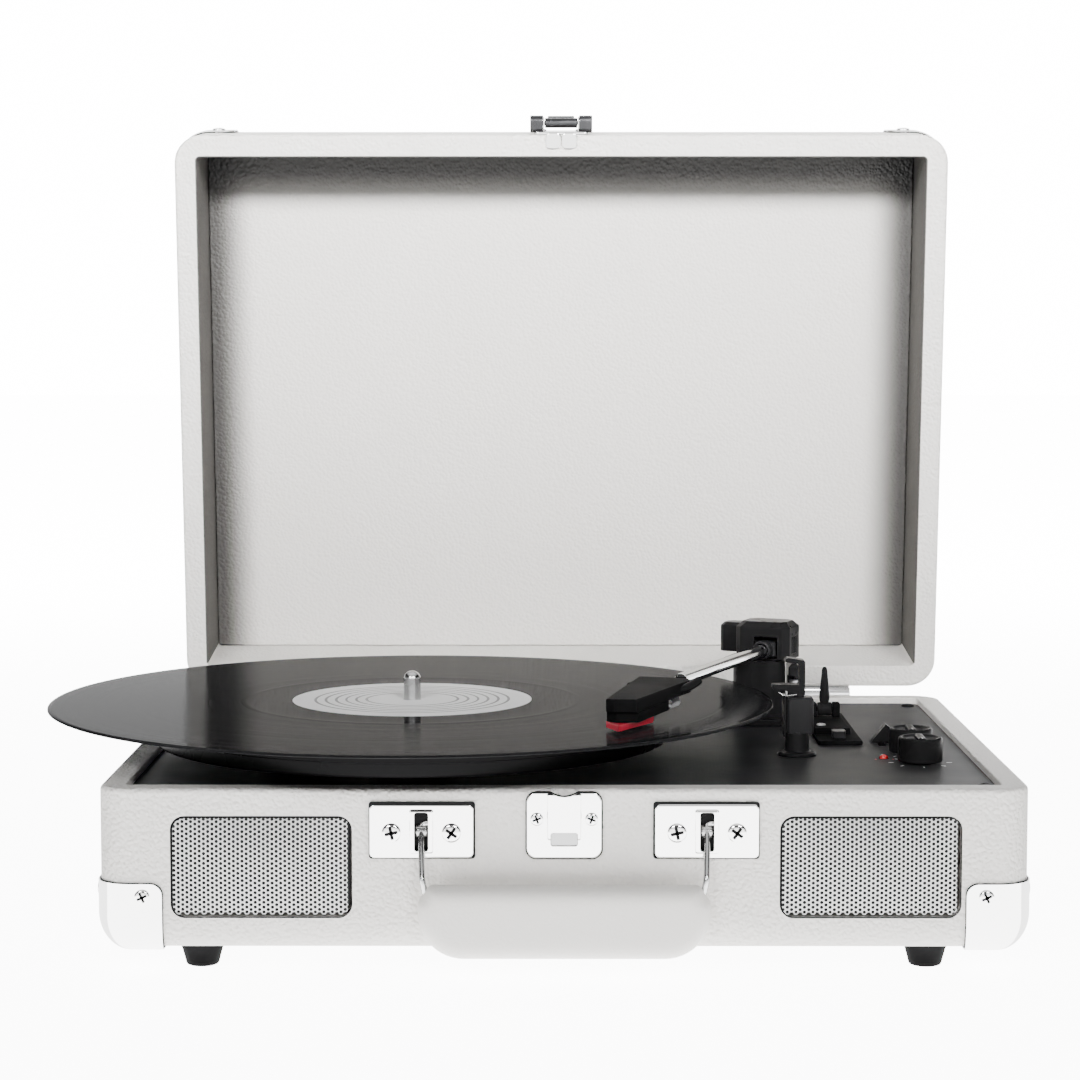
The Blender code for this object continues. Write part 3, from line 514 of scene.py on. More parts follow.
def carve(bm, cutter, operation="DIFFERENCE"):
    """One drawing cut by, cut to, or joined with another."""
    items = [add("carve", mesh_of(drawing)) for drawing in (bm, cutter)]
    modifier = items[0].modifiers.new("carve", "BOOLEAN")
    modifier.operation, modifier.solver, modifier.object = operation, "EXACT", items[1]
    bpy.context.view_layer.update()
    result = items[0].evaluated_get(bpy.context.evaluated_depsgraph_get())
    made = bmesh.new()
    made.from_mesh(result.to_mesh())
    result.to_mesh_clear()
    for item in items:
        mesh = item.data
        bpy.data.objects.remove(item, do_unlink=True)
        bpy.data.meshes.remove(mesh)
    return made


def join(bm, *others):
    """One drawing joined with others, one after another."""
    for other in others:
        bm = carve(bm, other, "UNION")
    return bm


def piece(name, bm, material, body="base", of=(), slot=None, where=None, angle=32.0, lined=None, bevel=0.0):
    """Turns a drawing into a piece that rides on a body and may stand for CAD nodes.

    Pieces of the lid and its latch are drawn shut and turned open here. With lined, the side walls of the
    hollow inside the lid take that material. A bevel, in millimetres, breaks the sharp edges."""
    half_w, deep = CASE
    for face in bm.faces if lined else ():
        middle = face.calc_center_median()
        within = abs(middle.x) < half_w - WALL + 1.2 and WALL - 1.2 < middle.y < deep - WALL - 1.2
        face.material_index = int(within and middle.z < LID_HIGH - 5.0)
    if where is None:
        where = LID if body in ("lid", "latch") else HERE
    bm.transform(TO_FRAME @ where)
    mesh = mesh_of(bm, name)
    mesh.materials.append(material)
    if lined:
        mesh.materials.append(lined)
    mesh.shade_smooth()
    mesh.set_sharp_from_angle(angle=math.radians(angle))
    item = add(name, mesh)
    if bevel:
        eased = item.modifiers.new("eased_edges", "BEVEL")
        eased.width, eased.segments, eased.limit_method = bevel * MM, 2, "ANGLE"
        eased.angle_limit, eased.use_clamp_overlap = math.radians(28), True
    even = item.modifiers.new("even_normals", "WEIGHTED_NORMAL")
    even.keep_sharp = True
    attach(item, body)
    if of:
        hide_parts(*of)
    slot = slot or next(kind for kind, materials in SLOTS.items() if material in materials)
    return item


def paint(material, *names):
    for name in names:
        item = frame["nodes"][name]
        item.data.materials.clear()
        item.data.materials.append(material)


# ---- screws

def screw_head(radius, rise):
    """A pan head with a cross recess, its seat at z = 0 and its top at z = rise."""
    profile = [(0.0, -0.6), (radius, -0.6), (radius, rise * 0.35)]
    profile += [(radius * math.cos(math.radians(a)), rise * (0.35 + 0.65 * math.sin(math.radians(a))))
                for a in range(12, 90, 13)] + [(0.0, rise)]
    head = lathe(profile, 28)
    arm, width, depth = radius * 0.68, radius * 0.17, rise * 0.95
    for turn in (0, 90):
        slot = block(-arm, arm, -width, width, rise - depth, rise + 1.0, width * 0.6, 0.1, 0.0, 3)
        head = carve(head, put(slot, ("Z", turn)))
    return head


SCREW = bpy.data.meshes.new("screw_pattern")
screw_head(1.0, 0.42).to_mesh(SCREW)
NORMALS = {"front": ("X", 90), "back": ("X", -90), "up": ("X", 0), "left": ("Y", -90), "right": ("Y", 90)}


def fasten(name, places, material, body="base"):
    """Screw heads at (x, y, z, which way they face, radius, turn in degrees), with painted shade in their
    recesses.
    """
    heads, shades = [], []
    for x, y, z, facing, radius, turn in places:
        head = bmesh.new()
        head.from_mesh(SCREW)
        head.transform(Matrix.Scale(radius, 4))
        heads.append(put(head, ("Z", turn), NORMALS[facing], (x, y, z)))
        arm, width = 0.64 * radius, 0.155 * radius
        # Black bars in each cross recess: painted shade.
        for across in (0, 90):
            shade = block(-arm, arm, -width, width, 0.05 * radius, 0.28 * radius, 0.1 * radius, 0.0, 0.0, 2)
            shades.append(put(shade, ("Z", turn + across), NORMALS[facing], (x, y, z)))
    piece(name, together(*heads), material, body)
    piece(name + "_recess_shade", together(*shades), BLACK, body)


# ---- case

def case_rings(z_flat, z_rim, inner_z, edge_y=EDGE, inner=1.6):
    """Rings of an open box: up the outside from its flat side, over the rim and down the inside.

    The flat side's edges are rounded by EDGE at the sides and by edge_y at the front and back."""
    up = 1 if z_rim > z_flat else -1
    half_w, deep = CASE
    rings = []

    def ring(inset, z, inset_y=None):
        inset_y = inset if inset_y is None else inset_y
        radius = CORNER - inset * (CORNER - inner) / WALL
        outline = rounded(-half_w + inset, half_w - inset, inset_y, deep - inset_y, radius, 10)
        rings.append([(x, y, z) for x, y in outline])

    for sine, cosine in quarter(8):
        ring(EDGE * (1 - sine), z_flat + up * EDGE * (1 - cosine), edge_y * (1 - sine))
    eased, crisp = 1.8, 0.6
    for sine, cosine in quarter(5):
        ring(eased * (1 - cosine), z_rim + up * (-eased + eased * sine))
    for sine, cosine in quarter(5):
        ring(WALL - crisp * (1 - sine), z_rim + up * (-crisp + crisp * cosine))
    ring(WALL, inner_z)
    return rings


def build_case():
    shell = skin(case_rings(BOTTOM, RIM, 60.0, BASE_EDGE))
    for side, hand in SIDES:
        low, high = span("speaker_grille_" + hand)
        opening = (low.x + 0.8, high.x + 0.6, low.z - 0.8, high.z - 0.3)
        shell = carve(shell, face_plate(*opening, 5.4, 9.0, -20.0, 0.0))
        # A black ring inside the opening, wide at its left and top and thin at its right and bottom: painted
        # shadow where the opening's edge shades the grille.
        shade = face_plate(*opening, 5.4, 0.9, 0.02, 0.0)
        x0, x1, z0, z1 = opening
        seen = face_plate(x0 + 0.9, x1 - 0.4, z0 + 0.3, z1 - 0.8, 4.7, 3.0, -3.0, 0.0)
        piece("grille_shadow_line_" + hand, carve(shade, seen), BLACK)
        x = side * WIRE_X
        shell = carve(shell, face_plate(x - 3.4, x + 3.4, 47.2, 63.6, 0.8, 7.5, -20.0, 0.0))
    piece("case_cover", shell, LEATHER, of=["base_case"])
    paint(DECK_BLACK, "deck_plate")
    corners = [(-152.0, 19.0), (163.0, 21.0), (162.0, 240.0), (-152.0, 240.0)]
    fasten("deck_screws", [(x, y, DECK, "up", 3.0, 20.0 + 3 * x) for x, y in corners], BLACK)


def build_feet():
    for end in ("front", "rear"):
        for side in ("left", "right"):
            node_name = "foot_%s_%s" % (end, side)
            low, high = span(node_name)
            top = high.z
            profile = [(0.0, 0.0), (2.2, 0.0), (2.4, 0.6), (3.0, 0.6), (3.2, 0.0), (5.4, 0.0), (6.0, 0.25),
                       (6.4, 0.8), (7.9, top - 3.2), (8.2, top - 2.6), (8.2, top), (0.0, top)]
            foot = put(lathe(profile, 48), ((low.x + high.x) / 2, (low.y + high.y) / 2, 0.0))
            piece("rubber_" + node_name, foot, RUBBER, of=[node_name])


def bent_corner(side, near_y, z_edge, up, inward, reach=25.0, thick=PRESSED):
    """A pressed corner protector on the rounded corner of a box whose flat side is at z_edge."""
    half_w, deep = CASE
    edge_y = BASE_EDGE if up > 0 else EDGE

    def body(grow):
        rings = []
        for sine, cosine in quarter(12):
            inset, rise, inset_y = EDGE * (1 - sine), EDGE * (1 - cosine), edge_y * (1 - sine)
            outline = rounded(-half_w + inset - grow, half_w - inset + grow, inset_y - grow,
                              deep - inset_y + grow, CORNER - inset + grow, 12)
            rings.append([(x, y, z_edge + up * (rise - grow * cosine)) for x, y in outline])
        rings.append([(x, y, z_edge + up * 45.0) for x, y, _ in rings[-1]])
        return skin(rings)

    x_in, y_in = side * (half_w - reach), near_y + inward * reach
    x_out, y_out = side * (half_w + 6.0), near_y - inward * 6.0
    z_in, z_out = z_edge + up * reach, z_edge - up * 6.0
    piece_of = body(GAP + thick)
    easing = (0.6, 4.5) if up > 0 else (4.5, 0.6)
    keep = block(*sorted((x_in, x_out)), *sorted((y_in, y_out)), *sorted((z_in, z_out)), 0.6, *easing, 4)
    piece_of = carve(piece_of, keep, "INTERSECT")
    return carve(piece_of, body(GAP))


def build_corners():
    for end, facing, near_y, inward in (("front", "front", 0.0, 1), ("rear", "back", CASE[1], -1)):
        face_y = near_y - inward * (GAP + PRESSED)
        for side, hand in SIDES:
            side_x = side * (CASE[0] + GAP + PRESSED)
            for body, z_edge, up in (("base", BOTTOM, 1), ("lid", LID_HIGH, -1)):
                node_name = "corner_%s_%s_%s" % (body, end, hand)
                corner = bent_corner(side, near_y, z_edge, up, inward)
                piece("pressed_" + node_name, corner, CHROME, body, of=[node_name])
                # A grey shell just larger than the protector, seen as a thin dark line round its edges:
                # painted shadow.
                shadow_line = bent_corner(side, near_y, z_edge, up, inward, 25.35, 0.3)
                piece("shadow_line_" + node_name, shadow_line, GREY, body)
                z = z_edge + up * 20.0
                spots = [(side * 160.5, face_y, z, facing, 3.0, 25.0),
                         (side_x, near_y + inward * 18.0, z, "right" if side > 0 else "left", 3.0, 60.0)]
                fasten("%s_corner_screws_%s_%s" % (body, end, hand), spots, CHROME, body)


# ---- speakers

def perforated(low, high):
    """A slightly crowned sheet punched with staggered round holes."""
    cx, cz = (low.x + high.x) / 2, (low.z + high.z) / 2
    half_w, half_h = (high.x - low.x) / 2, (high.z - low.z) / 2
    pitch, hole = 1.88, 0.68
    column = pitch * math.cos(math.radians(30))

    def crown(x, z):
        return 0.35 - 1.15 * (1 - ((x - cx) / half_w) ** 2) * (1 - ((z - cz) / half_h) ** 2)

    def inside(x, z, margin):
        """Whether a point lies in the round-cornered outline drawn in by a margin."""
        corner = 4.8 - margin
        dx, dz = abs(x - cx) - (half_w - margin - corner), abs(z - cz) - (half_h - margin - corner)
        return math.hypot(max(dx, 0.0), max(dz, 0.0)) <= corner if corner > 0 else False

    bm = bmesh.new()
    verts = {}

    def vert(x, z):
        key = (round(x, 2), round(z, 2))
        if key not in verts:
            verts[key] = bm.verts.new((x, crown(x, z), z))
        return verts[key]

    columns, rows = int(half_w / column) + 1, int(half_h / pitch) + 2
    for i in range(-columns, columns + 1):
        for j in range(-rows, rows + 1):
            x, z = cx + i * column, cz + (j + 0.5 * (i % 2)) * pitch
            if not inside(x, z, 0.6):
                continue
            rim, edge = [], []
            for k in range(12):
                turn = math.radians(30 * k)
                far = pitch / 2 / math.cos(math.radians(30)) if k % 2 == 0 else pitch / 2
                edge.append(vert(x + far * math.cos(turn), z + far * math.sin(turn)))
                rim.append(bm.verts.new((x + hole * math.cos(turn), crown(x, z), z + hole * math.sin(turn))))
            for k in range(12):
                after = (k + 1) % 12
                bm.faces.new((edge[k], rim[k], rim[after], edge[after]))
    bmesh.ops.recalc_face_normals(bm, faces=bm.faces)
    bmesh.ops.solidify(bm, geom=bm.faces, thickness=0.3)
    bmesh.ops.recalc_face_normals(bm, faces=bm.faces)
    return bm


def build_speakers():
    for hand in ("left", "right"):
        node_name = "speaker_grille_" + hand
        low, high = span(node_name)
        piece("punched_sheet_" + hand, perforated(low, high), GRILLE, of=[node_name])
        cloth = face_plate(low.x + 0.3, high.x - 0.3, low.z + 0.3, high.z - 0.3, 4.4, 4.6, 3.4, 0.2)
        piece("speaker_cloth_" + hand, cloth, CLOTH)
    paint(STEEL, "speaker_driver_left", "speaker_driver_right")


# ---- front hardware

def build_plates():
    spots = []
    for side, hand in SIDES:
        low, high = span("handle_plate_" + hand)
        x = side * WIRE_X
        plate = face_plate(low.x, high.x, low.z, high.z, 1.9, -GAP, low.y, 0.85)
        cheeks = block(x - 4.6, x + 4.6, -2.5, -0.7, 47.0, 63.9, 1.2, 1.0, 1.0)
        plate = join(plate, cheeks)
        plate = carve(plate, window(x, 2.7, 47.9, 62.9))
        piece("slotted_plate_" + hand, plate, CHROME, of=["handle_plate_" + hand])
        # A black sheet just larger than the plate, seen as a dark line along its top and its side towards
        # the case's middle: painted shadow.
        left_edge, right_edge = (0.15, 0.55) if side < 0 else (0.55, 0.15)
        shadow_line = face_plate(low.x - left_edge, high.x + right_edge, low.z - 0.2, high.z + 0.85, 1.2, -0.02,
                            -0.9, 0.1)
        shadow_line = carve(shadow_line, window(x, 3.0, 47.4, 63.4))
        piece("plate_shadow_line_" + hand, shadow_line, BLACK)
        piece("slot_well_" + hand, face_plate(x - 3.2, x + 3.2, 47.4, 63.4, 0.7, 7.2, 2.6, 0.3), BLACK)
        piece("eyelet_" + hand, axle(2.5, 4.6, 0.8, (x - 2.3, 1.2, 55.0)), NICKEL, slot="chrome")
        spots += [(x - 11.4, low.y, 54.9, "front", 3.7, 12.0), (x + 11.4, low.y, 54.9, "front", 3.7, 55.0)]
    low, high = span("latch_keeper")
    middle = (low.x + high.x) / 2
    plate = face_plate(low.x, high.x, low.z, high.z, 3.6, -GAP, -1.4, 0.7)
    channel = block(middle - 6.6, middle + 6.6, low.y, -0.8, low.z + 7.2, high.z - 0.4, 1.4, 1.0, 0.6)
    plate = join(plate, channel)
    plate = carve(plate, window(middle, 5.2, low.z + 4.6, low.z + 10.3))
    plate = carve(plate, put(rod(9.0, 20.0, 0.0, 64), ("X", 90), (middle, 10.0, high.z + 7.4)))
    piece("keeper_plate", plate, CHROME, of=["latch_keeper"])
    shade = face_plate(middle - 5.0, middle + 5.0, low.z + 4.8, low.z + 10.1, 0.8, -0.15, -0.35, 0.05)
    piece("keeper_shade", shade, NICKEL)
    # A black sheet just larger than the keeper, seen as a dark line round it: painted shadow.
    shadow_line = face_plate(low.x - 0.4, high.x + 0.4, low.z - 0.4, high.z + 0.2, 4.0, -0.02, -0.8, 0.1)
    shadow_line = carve(shadow_line, put(rod(8.8, 20.0, 0.0, 64), ("X", 90), (middle, 10.0, high.z + 7.4)))
    shadow_line = carve(shadow_line, window(middle, 5.4, low.z + 4.4, low.z + 10.5))
    piece("keeper_shadow_line", shadow_line, BLACK)
    spots += [(middle - 10.4, -1.4, 60.2, "front", 2.5, 20.0),
              (middle + 10.4, -1.4, 60.2, "front", 2.5, 70.0)]
    fasten("plate_screws", spots, CHROME)


def grip_outline(inset):
    """The grip from the front: clipped upper corners and large round lower corners."""
    low, high = span("handle_grip")
    half_w, z0, z1 = (high.x - low.x) / 2 - inset, low.z + inset, high.z - inset
    clip, drop, big = 4.2 - inset * 0.28, 6.6 - inset * 0.62, 17.5 - inset * 1.25
    right = bend([(half_w - 30.0, z1, 0), (half_w - clip, z1, 0), (half_w, z1 - drop, 0),
                  (half_w, z0 + big + 0.5, 0)], 1.8 - inset * 0.14)
    right = [(point.x, point.y) for point in right]
    right += arc_points(half_w - big, z0 + big, big, 0, -90, 12)
    return right + [(-x, z) for x, z in reversed(right)]


def build_handle():
    low, high = span("handle_grip")
    middle, half = (low.y + high.y) / 2, (high.y - low.y) / 2
    rings = []
    for k in range(-10, 11):
        lean = math.radians(9.0 * k)
        inset = 8.5 * (1 - math.cos(lean) ** 0.62) if abs(k) < 10 else 8.5
        rings.append([(x, middle + half * math.sin(lean), z) for x, z in grip_outline(inset)])
    grip = piece("padded_grip", skin(rings), GRIP_SKIN, "handle", of=["handle_grip"], angle=60.0)
    pivot = spot(JOINTS["handle_swing"]["pos_m"])
    for side, hand in SIDES:
        x = side * WIRE_X
        points = [(x + 3.6, pivot.y, pivot.z), (x, pivot.y, pivot.z), (x, pivot.y - 4.6, pivot.z - 7.6),
                  (x - side * 0.6, middle, high.z + 2.0), (x - side * 2.4, middle, high.z - 6.0)]
        piece("bent_wire_" + hand, tube_along(bend(points, 2.2), 1.15), WIRE, "handle",
              of=["handle_wire_" + hand], angle=60.0)


# ---- lid

def build_lid():
    shell = skin(case_rings(LID_HIGH, LID_LOW, LID_HIGH - 6.0))
    piece("lid_cover", shell, LEATHER, "lid", of=["lid_shell"], lined=LID_WALL)
    half_w, deep = CASE
    ceiling = LID_HIGH - 6.0
    lining = block(-half_w + WALL + 0.3, half_w - WALL - 0.3, WALL + 0.3, deep - WALL - 0.3, ceiling - 1.8,
                   ceiling - 0.2, 1.3, 0.5, 0.0)
    piece("lid_lining", lining, LINING, "lid", of=["lid_liner"])
    paint(STEEL, "hinge_base_left", "hinge_base_right", "hinge_lid_left", "hinge_lid_right")
    base_spots, lid_spots = [], []
    for side in (-1, 1):
        for offset in (-13.0, 0.0, 13.0):
            x = side * 118.5 + offset
            base_spots.append((x, CASE[1] + 1.5, 52.0, "back", 2.2, 30.0 + offset))
            lid_spots.append((x, CASE[1] + 1.5, 90.0, "back", 2.2, 10.0 + offset))
    fasten("hinge_base_screws", base_spots, STEEL)
    fasten("hinge_lid_screws", lid_spots, STEEL, "lid")


def build_latch():
    pin_y, pin_z = -5.2, 81.0
    plate = face_plate(-12.6, 12.6, 74.5, 96.5, 2.0, -GAP, -1.3, 0.4)
    piece("latch_base", plate, CHROME, "lid", of=["latch_plate"])
    for side, hand in SIDES:
        ear = put(block(-4.1, 4.1, -3.9, 3.9, -3.0, 3.0, 2.6, 0.3, 0.3), ("Y", 90),
                  (side * 11.3, -4.7, pin_z))
        ear = carve(ear, axle(1.3, 40.0, 0.0, (-20.0, pin_y, pin_z)))
        piece("latch_ear_" + hand, ear, OXIDE, "lid")
        cheek = put(block(-3.8, 3.8, -3.4, 3.4, -0.25, 0.25, 2.2, 0.1, 0.1), ("Y", 90),
                    (side * 8.0, -4.5, pin_z))
        piece("latch_cheek_" + hand, cheek, CHROME, "lid")
        toe = block(side * 3.7 - 3.4, side * 3.7 + 3.4, -1.0, 6.2, 70.9, 72.0, 2.0, 0.4, 0.1)
        piece("latch_toe_" + hand, toe, CHROME, "lid")
    hasp = axle(2.3, 15.0, 0.4, (-7.5, pin_y, pin_z))
    pin = axle(1.0, 26.0, 0.3, (-13.0, pin_y, pin_z))
    tongue = block(-6.6, 6.6, pin_y - 1.6, pin_y + 0.8, pin_z + 0.4, pin_z + 17.5, 0.7, 0.6, 0.9)
    lip = axle(1.5, 12.4, 0.4, (-6.2, pin_y - 1.2, pin_z + 16.8))
    hasp = join(hasp, pin, tongue, lip)
    piece("folding_hasp", hasp, OXIDE, "latch", of=["latch_hasp"])
    fasten("latch_screws", [(x, -1.3, 92.5, "front", 1.9, 35.0) for x in (-8.6, 8.6)], CHROME, "lid")


# ---- turning parts

def build_disc():
    centre = (DISC.x, DISC.y, 0.0)
    low, high = span("record")
    radius, under, top = (high.x - low.x) / 2, low.z, high.z
    record = [(3.75, under), (50.0, under), (52.0, under + 0.1), (145.5, under + 0.1), (148.0, under),
              (150.0, under + 0.25), (radius, under + 0.62), (radius - 0.02, under + 0.8),
              (150.2, top - 0.12),
              (148.6, top), (146.0, top - 0.10), (71.5, top - 0.13), (70.8, top - 0.05), (68.0, top - 0.04),
              (67.4, top - 0.12), (57.0, top - 0.12), (50.4, top - 0.02), (16.0, top - 0.02),
              (15.5, top - 0.12), (14.6, top - 0.02), (3.75, top - 0.02)]
    piece("pressed_record", put(lathe(record, 256), centre), VINYL, "platter_set", of=["record"])
    paper = [(3.75, top - 0.05), (50.0, top - 0.05), (50.0, top + 0.02), (3.75, top + 0.02)]
    piece("record_label", put(lathe(paper, 128), centre), LABEL, "platter_set")
    low, high = span("platter")
    rim = (high.x - low.x) / 2
    platter = [(4.4, high.z), (rim - 1.6, high.z), (rim - 0.5, high.z - 0.5), (rim, high.z - 1.6),
               (rim, high.z - 6.0),
               (rim - 0.8, high.z - 6.6), (rim - 0.8, low.z + 1.0), (rim - 1.4, low.z), (rim - 3.6, low.z),
               (rim - 3.6, high.z - 3.0), (70.5, high.z - 3.0), (70.5, low.z), (67.5, low.z),
               (67.5, high.z - 3.0),
               (14.0, high.z - 3.0), (14.0, low.z + 1.0), (6.6, low.z + 1.0), (6.6, high.z - 5.0),
               (4.4, high.z - 5.0)]
    piece("platter_casting", put(lathe(platter, 160), centre), BLACK, "platter_set", of=["platter"])
    low, high = span("platter_mat")
    rim = (high.x - low.x) / 2
    mat = [(4.2, low.z), (rim, low.z), (rim, high.z - 0.4), (rim - 0.4, high.z)]
    for k in range(12):
        r = rim - 2.0 - k * 4.4
        mat += [(r, high.z), (r - 0.4, high.z - 0.35), (r - 1.4, high.z - 0.35), (r - 1.8, high.z)]
    mat += [(4.2, high.z)]
    piece("ribbed_mat", put(lathe(mat, 128), centre), FELT, "platter_set", of=["platter_mat"])
    low, high = span("spindle")
    r, top = (high.x - low.x) / 2, high.z
    dome = [math.radians(a) for a in range(10, 90, 10)]
    pin = [(0.0, low.z), (r, low.z), (r, top - 3.2)]
    pin += [(r * math.cos(a), top - 3.2 + 3.2 * math.sin(a)) for a in dome] + [(0.0, top)]
    piece("spindle_pin", put(lathe(pin, 48), centre), WIRE, of=["spindle"])
    paint(STEEL, "platter_bearing", "motor", "motor_pulley")
    paint(RUBBER, "drive_belt")
    paint(BOARD, "circuit_board")


# ---- controls

def printed(x0, x1, y0, y1):
    """A mark printed on the deck."""
    return block(x0, x1, y0, y1, DECK, DECK + 0.06, 0.2, 0.0, 0.03, 3)


def build_controls():
    for name, body in (("knob_volume", "volume"), ("knob_mode", "mode")):
        low, high = span(name)
        x, y, r, z = (low.x + high.x) / 2, (low.y + high.y) / 2, (high.x - low.x) / 2, 69.7
        profile = [(0.0, low.z), (3.0, low.z), (3.0, z), (r - 0.3, z), (r, z + 0.4), (r - 0.1, 78.6),
                   (r - 0.3, 79.3),
                   (r - 0.8, 79.7), (r - 1.5, 79.6), (r - 2.2, 78.9), (r - 3.2, 78.6), (0.0, 78.5)]
        knob = lathe(profile, 96)
        bar = block(-1.7, 1.7, -7.6, 7.6, 78.0, high.z - 0.9, 1.6, 0.0, 0.8)
        knob = put(join(knob, bar), (x, y, 0.0))
        piece("turned_" + name, knob, BLACK, body, of=[name])
        pointer = block(x - 0.3, x + 0.3, y - 7.0, y - 3.4, high.z - 0.95, high.z - 0.82, 0.25, 0.0, 0.05)
        piece("pointer_" + name, pointer, WHITE_MARK, body)
        marks = []
        for turn in range(-135, 136, 45) if body == "volume" else (-40, 0, 40):
            marks.append(put(printed(-0.3, 0.3, -1.1, 1.1), (0.0, -11.8, 0.0), ("Z", turn), (x, y, 0.0)))
        piece("scale_" + name, together(*marks), WHITE_MARK)
    low, high = span("power_lamp")
    x, y = (low.x + high.x) / 2, (low.y + high.y) / 2
    lens = [(0.0, 64.0), (1.8, 64.0), (1.8, 69.3), (1.65, 69.8), (1.2, 70.2), (0.6, 70.45), (0.0, 70.5)]
    piece("lamp_lens", put(lathe(lens, 32), (x, y, 0.0)), LENS, of=["power_lamp"])
    marks = [printed(x + shift, x + shift + 0.6, y - 4.2, y - 2.6) for shift in (-4.0, 3.2)]
    piece("lamp_mark", together(*marks), RED_MARK)

    low, high = span("control_plate")
    plate = block(low.x, high.x, low.y, high.y, low.z, 71.0, 1.6, 0.1, 0.5)
    plate = join(plate, block(low.x + 0.1, 124.2, 140.4, high.y - 0.1, 70.0, 73.6, 1.0, 0.0, 0.6))
    for x in (LEVER.x - 6.6, LEVER.x + 3.6):
        ear = put(block(-3.4, 3.4, -3.4, 3.4, 0.0, 3.0, 1.6, 0.4, 0.4), ("Y", 90),
                  (x, LEVER.y, LEVER.z - 0.4))
        plate = join(plate, ear)
    plate = carve(plate, axle(1.4, 24.0, 0.0, (LEVER.x - 12.0, LEVER.y, LEVER.z)))
    piece("stepped_plate", plate, MATT, of=["control_plate"])
    fasten("control_screws", [(112.5, 150.0, 73.6, "up", 2.0, 15.0), (118.5, 198.0, 73.6, "up", 2.0, 40.0)],
           STEEL)
    lever = axle(1.1, 12.4, 0.2, (-6.2, 0.0, 0.0))
    lever = join(lever, axle(3.0, 6.4, 0.5, (-3.2, 0.0, 0.0)))
    stick = lathe([(0.0, 0.5), (1.5, 0.5), (2.4, 5.0), (2.1, 8.0), (1.25, 17.2), (1.0, 18.2), (0.5, 18.75),
                   (0.0, 18.8)], 32)
    lever = join(lever, stick)
    piece("cue_stick", put(lever, LEVER), BLACK, "cue", of=["cue_lever"])
    paint(BLACK, "speed_selector")
    paint(GREY, "auto_stop_switch")


# ---- tonearm

def build_arm_mounts():
    low, high = span("tonearm_base")
    x, y = PIVOT.x - 5.4, PIVOT.y
    foot = block(low.x, high.x, low.y, high.y, low.z, 72.2, 4.0, 0.2, 0.8)
    pillar = lathe([(0.0, 70.0), (12.6, 70.0), (12.6, 73.0), (11.8, 84.0), (11.6, high.z - 0.5),
                    (11.1, high.z), (0.0, high.z)])
    piece("arm_pillar", join(foot, put(pillar, (x, y, 0.0))), BLACK, of=["tonearm_base"])
    low, high = span("arm_rest_post")
    x, y = 97.0, 96.0
    post = [(0.0, low.z), (8.0, low.z), (8.1, low.z + 0.5), (7.6, 70.7), (6.6, 71.0), (5.4, 71.3),
            (5.0, 72.0), (4.9, 78.2), (4.4, 79.0), (0.0, 79.0)]
    piece("rest_post", put(lathe(post, 48), (x, y, 0.0)), BLACK, of=["arm_rest_post"])
    block_of = facet(x - 4.4, x + 6.6, y - 4.2, y + 5.2, 78.6, 93.6, 0.9, 0.8)
    piece("rest_block", block_of, GREY, bevel=0.2)
    # A black plate on the left side of the grey rest block: painted shade on that side.
    piece("rest_side", block(x - 5.9, x - 4.6, y - 3.6, y + 4.4, 77.4, 94.6, 0.4, 0.3, 0.3), BLACK)
    hook = [(-10.5, 97.4), (-10.0, 96.9), (-4.6, 96.3), (-1.5, 93.9), (3.0, 93.9), (3.0, 108.4),
            (2.4, 109.0), (-4.2, 110.0),
            (-4.9, 109.6), (-5.4, 108.6), (-5.1, 108.2), (0.1, 107.6), (0.6, 107.1), (0.6, 99.4),
            (0.1, 98.9), (-10.0, 98.9), (-10.5, 98.5)]
    rings = [[(x + u, y + side * 3.2, v) for u, v in hook] for side in (-1, 1)]
    piece("rest_hook", skin(rings), BLACK, of=["arm_rest_clip"], bevel=0.2)
    spring = bend([(x - 0.6, y - 4.8, 95.0), (x - 5.6, y - 4.8, 94.4), (x - 8.0, y - 4.6, 96.0)], 1.4)
    piece("rest_spring", tube_along(spring, 0.3), NICKEL, angle=60.0)
    bracket = facet(101.6, 106.6, 187.0, 203.0, 72.3, 95.6, 0.6, 1.6)
    bracket = carve(bracket, facet(100.0, 104.4, 186.0, 193.0, 78.0, 90.0, 0.4, 0.4))
    piece("lift_bracket", bracket, BLACK, bevel=0.25)
    piston = lathe([(0.0, 0.0), (1.5, 0.0), (1.5, 13.6), (2.4, 13.8), (2.4, 15.4), (0.0, 15.6)], 32)
    piece("lift_piston", put(piston, (104.0, 183.6, 73.4)), STEEL)


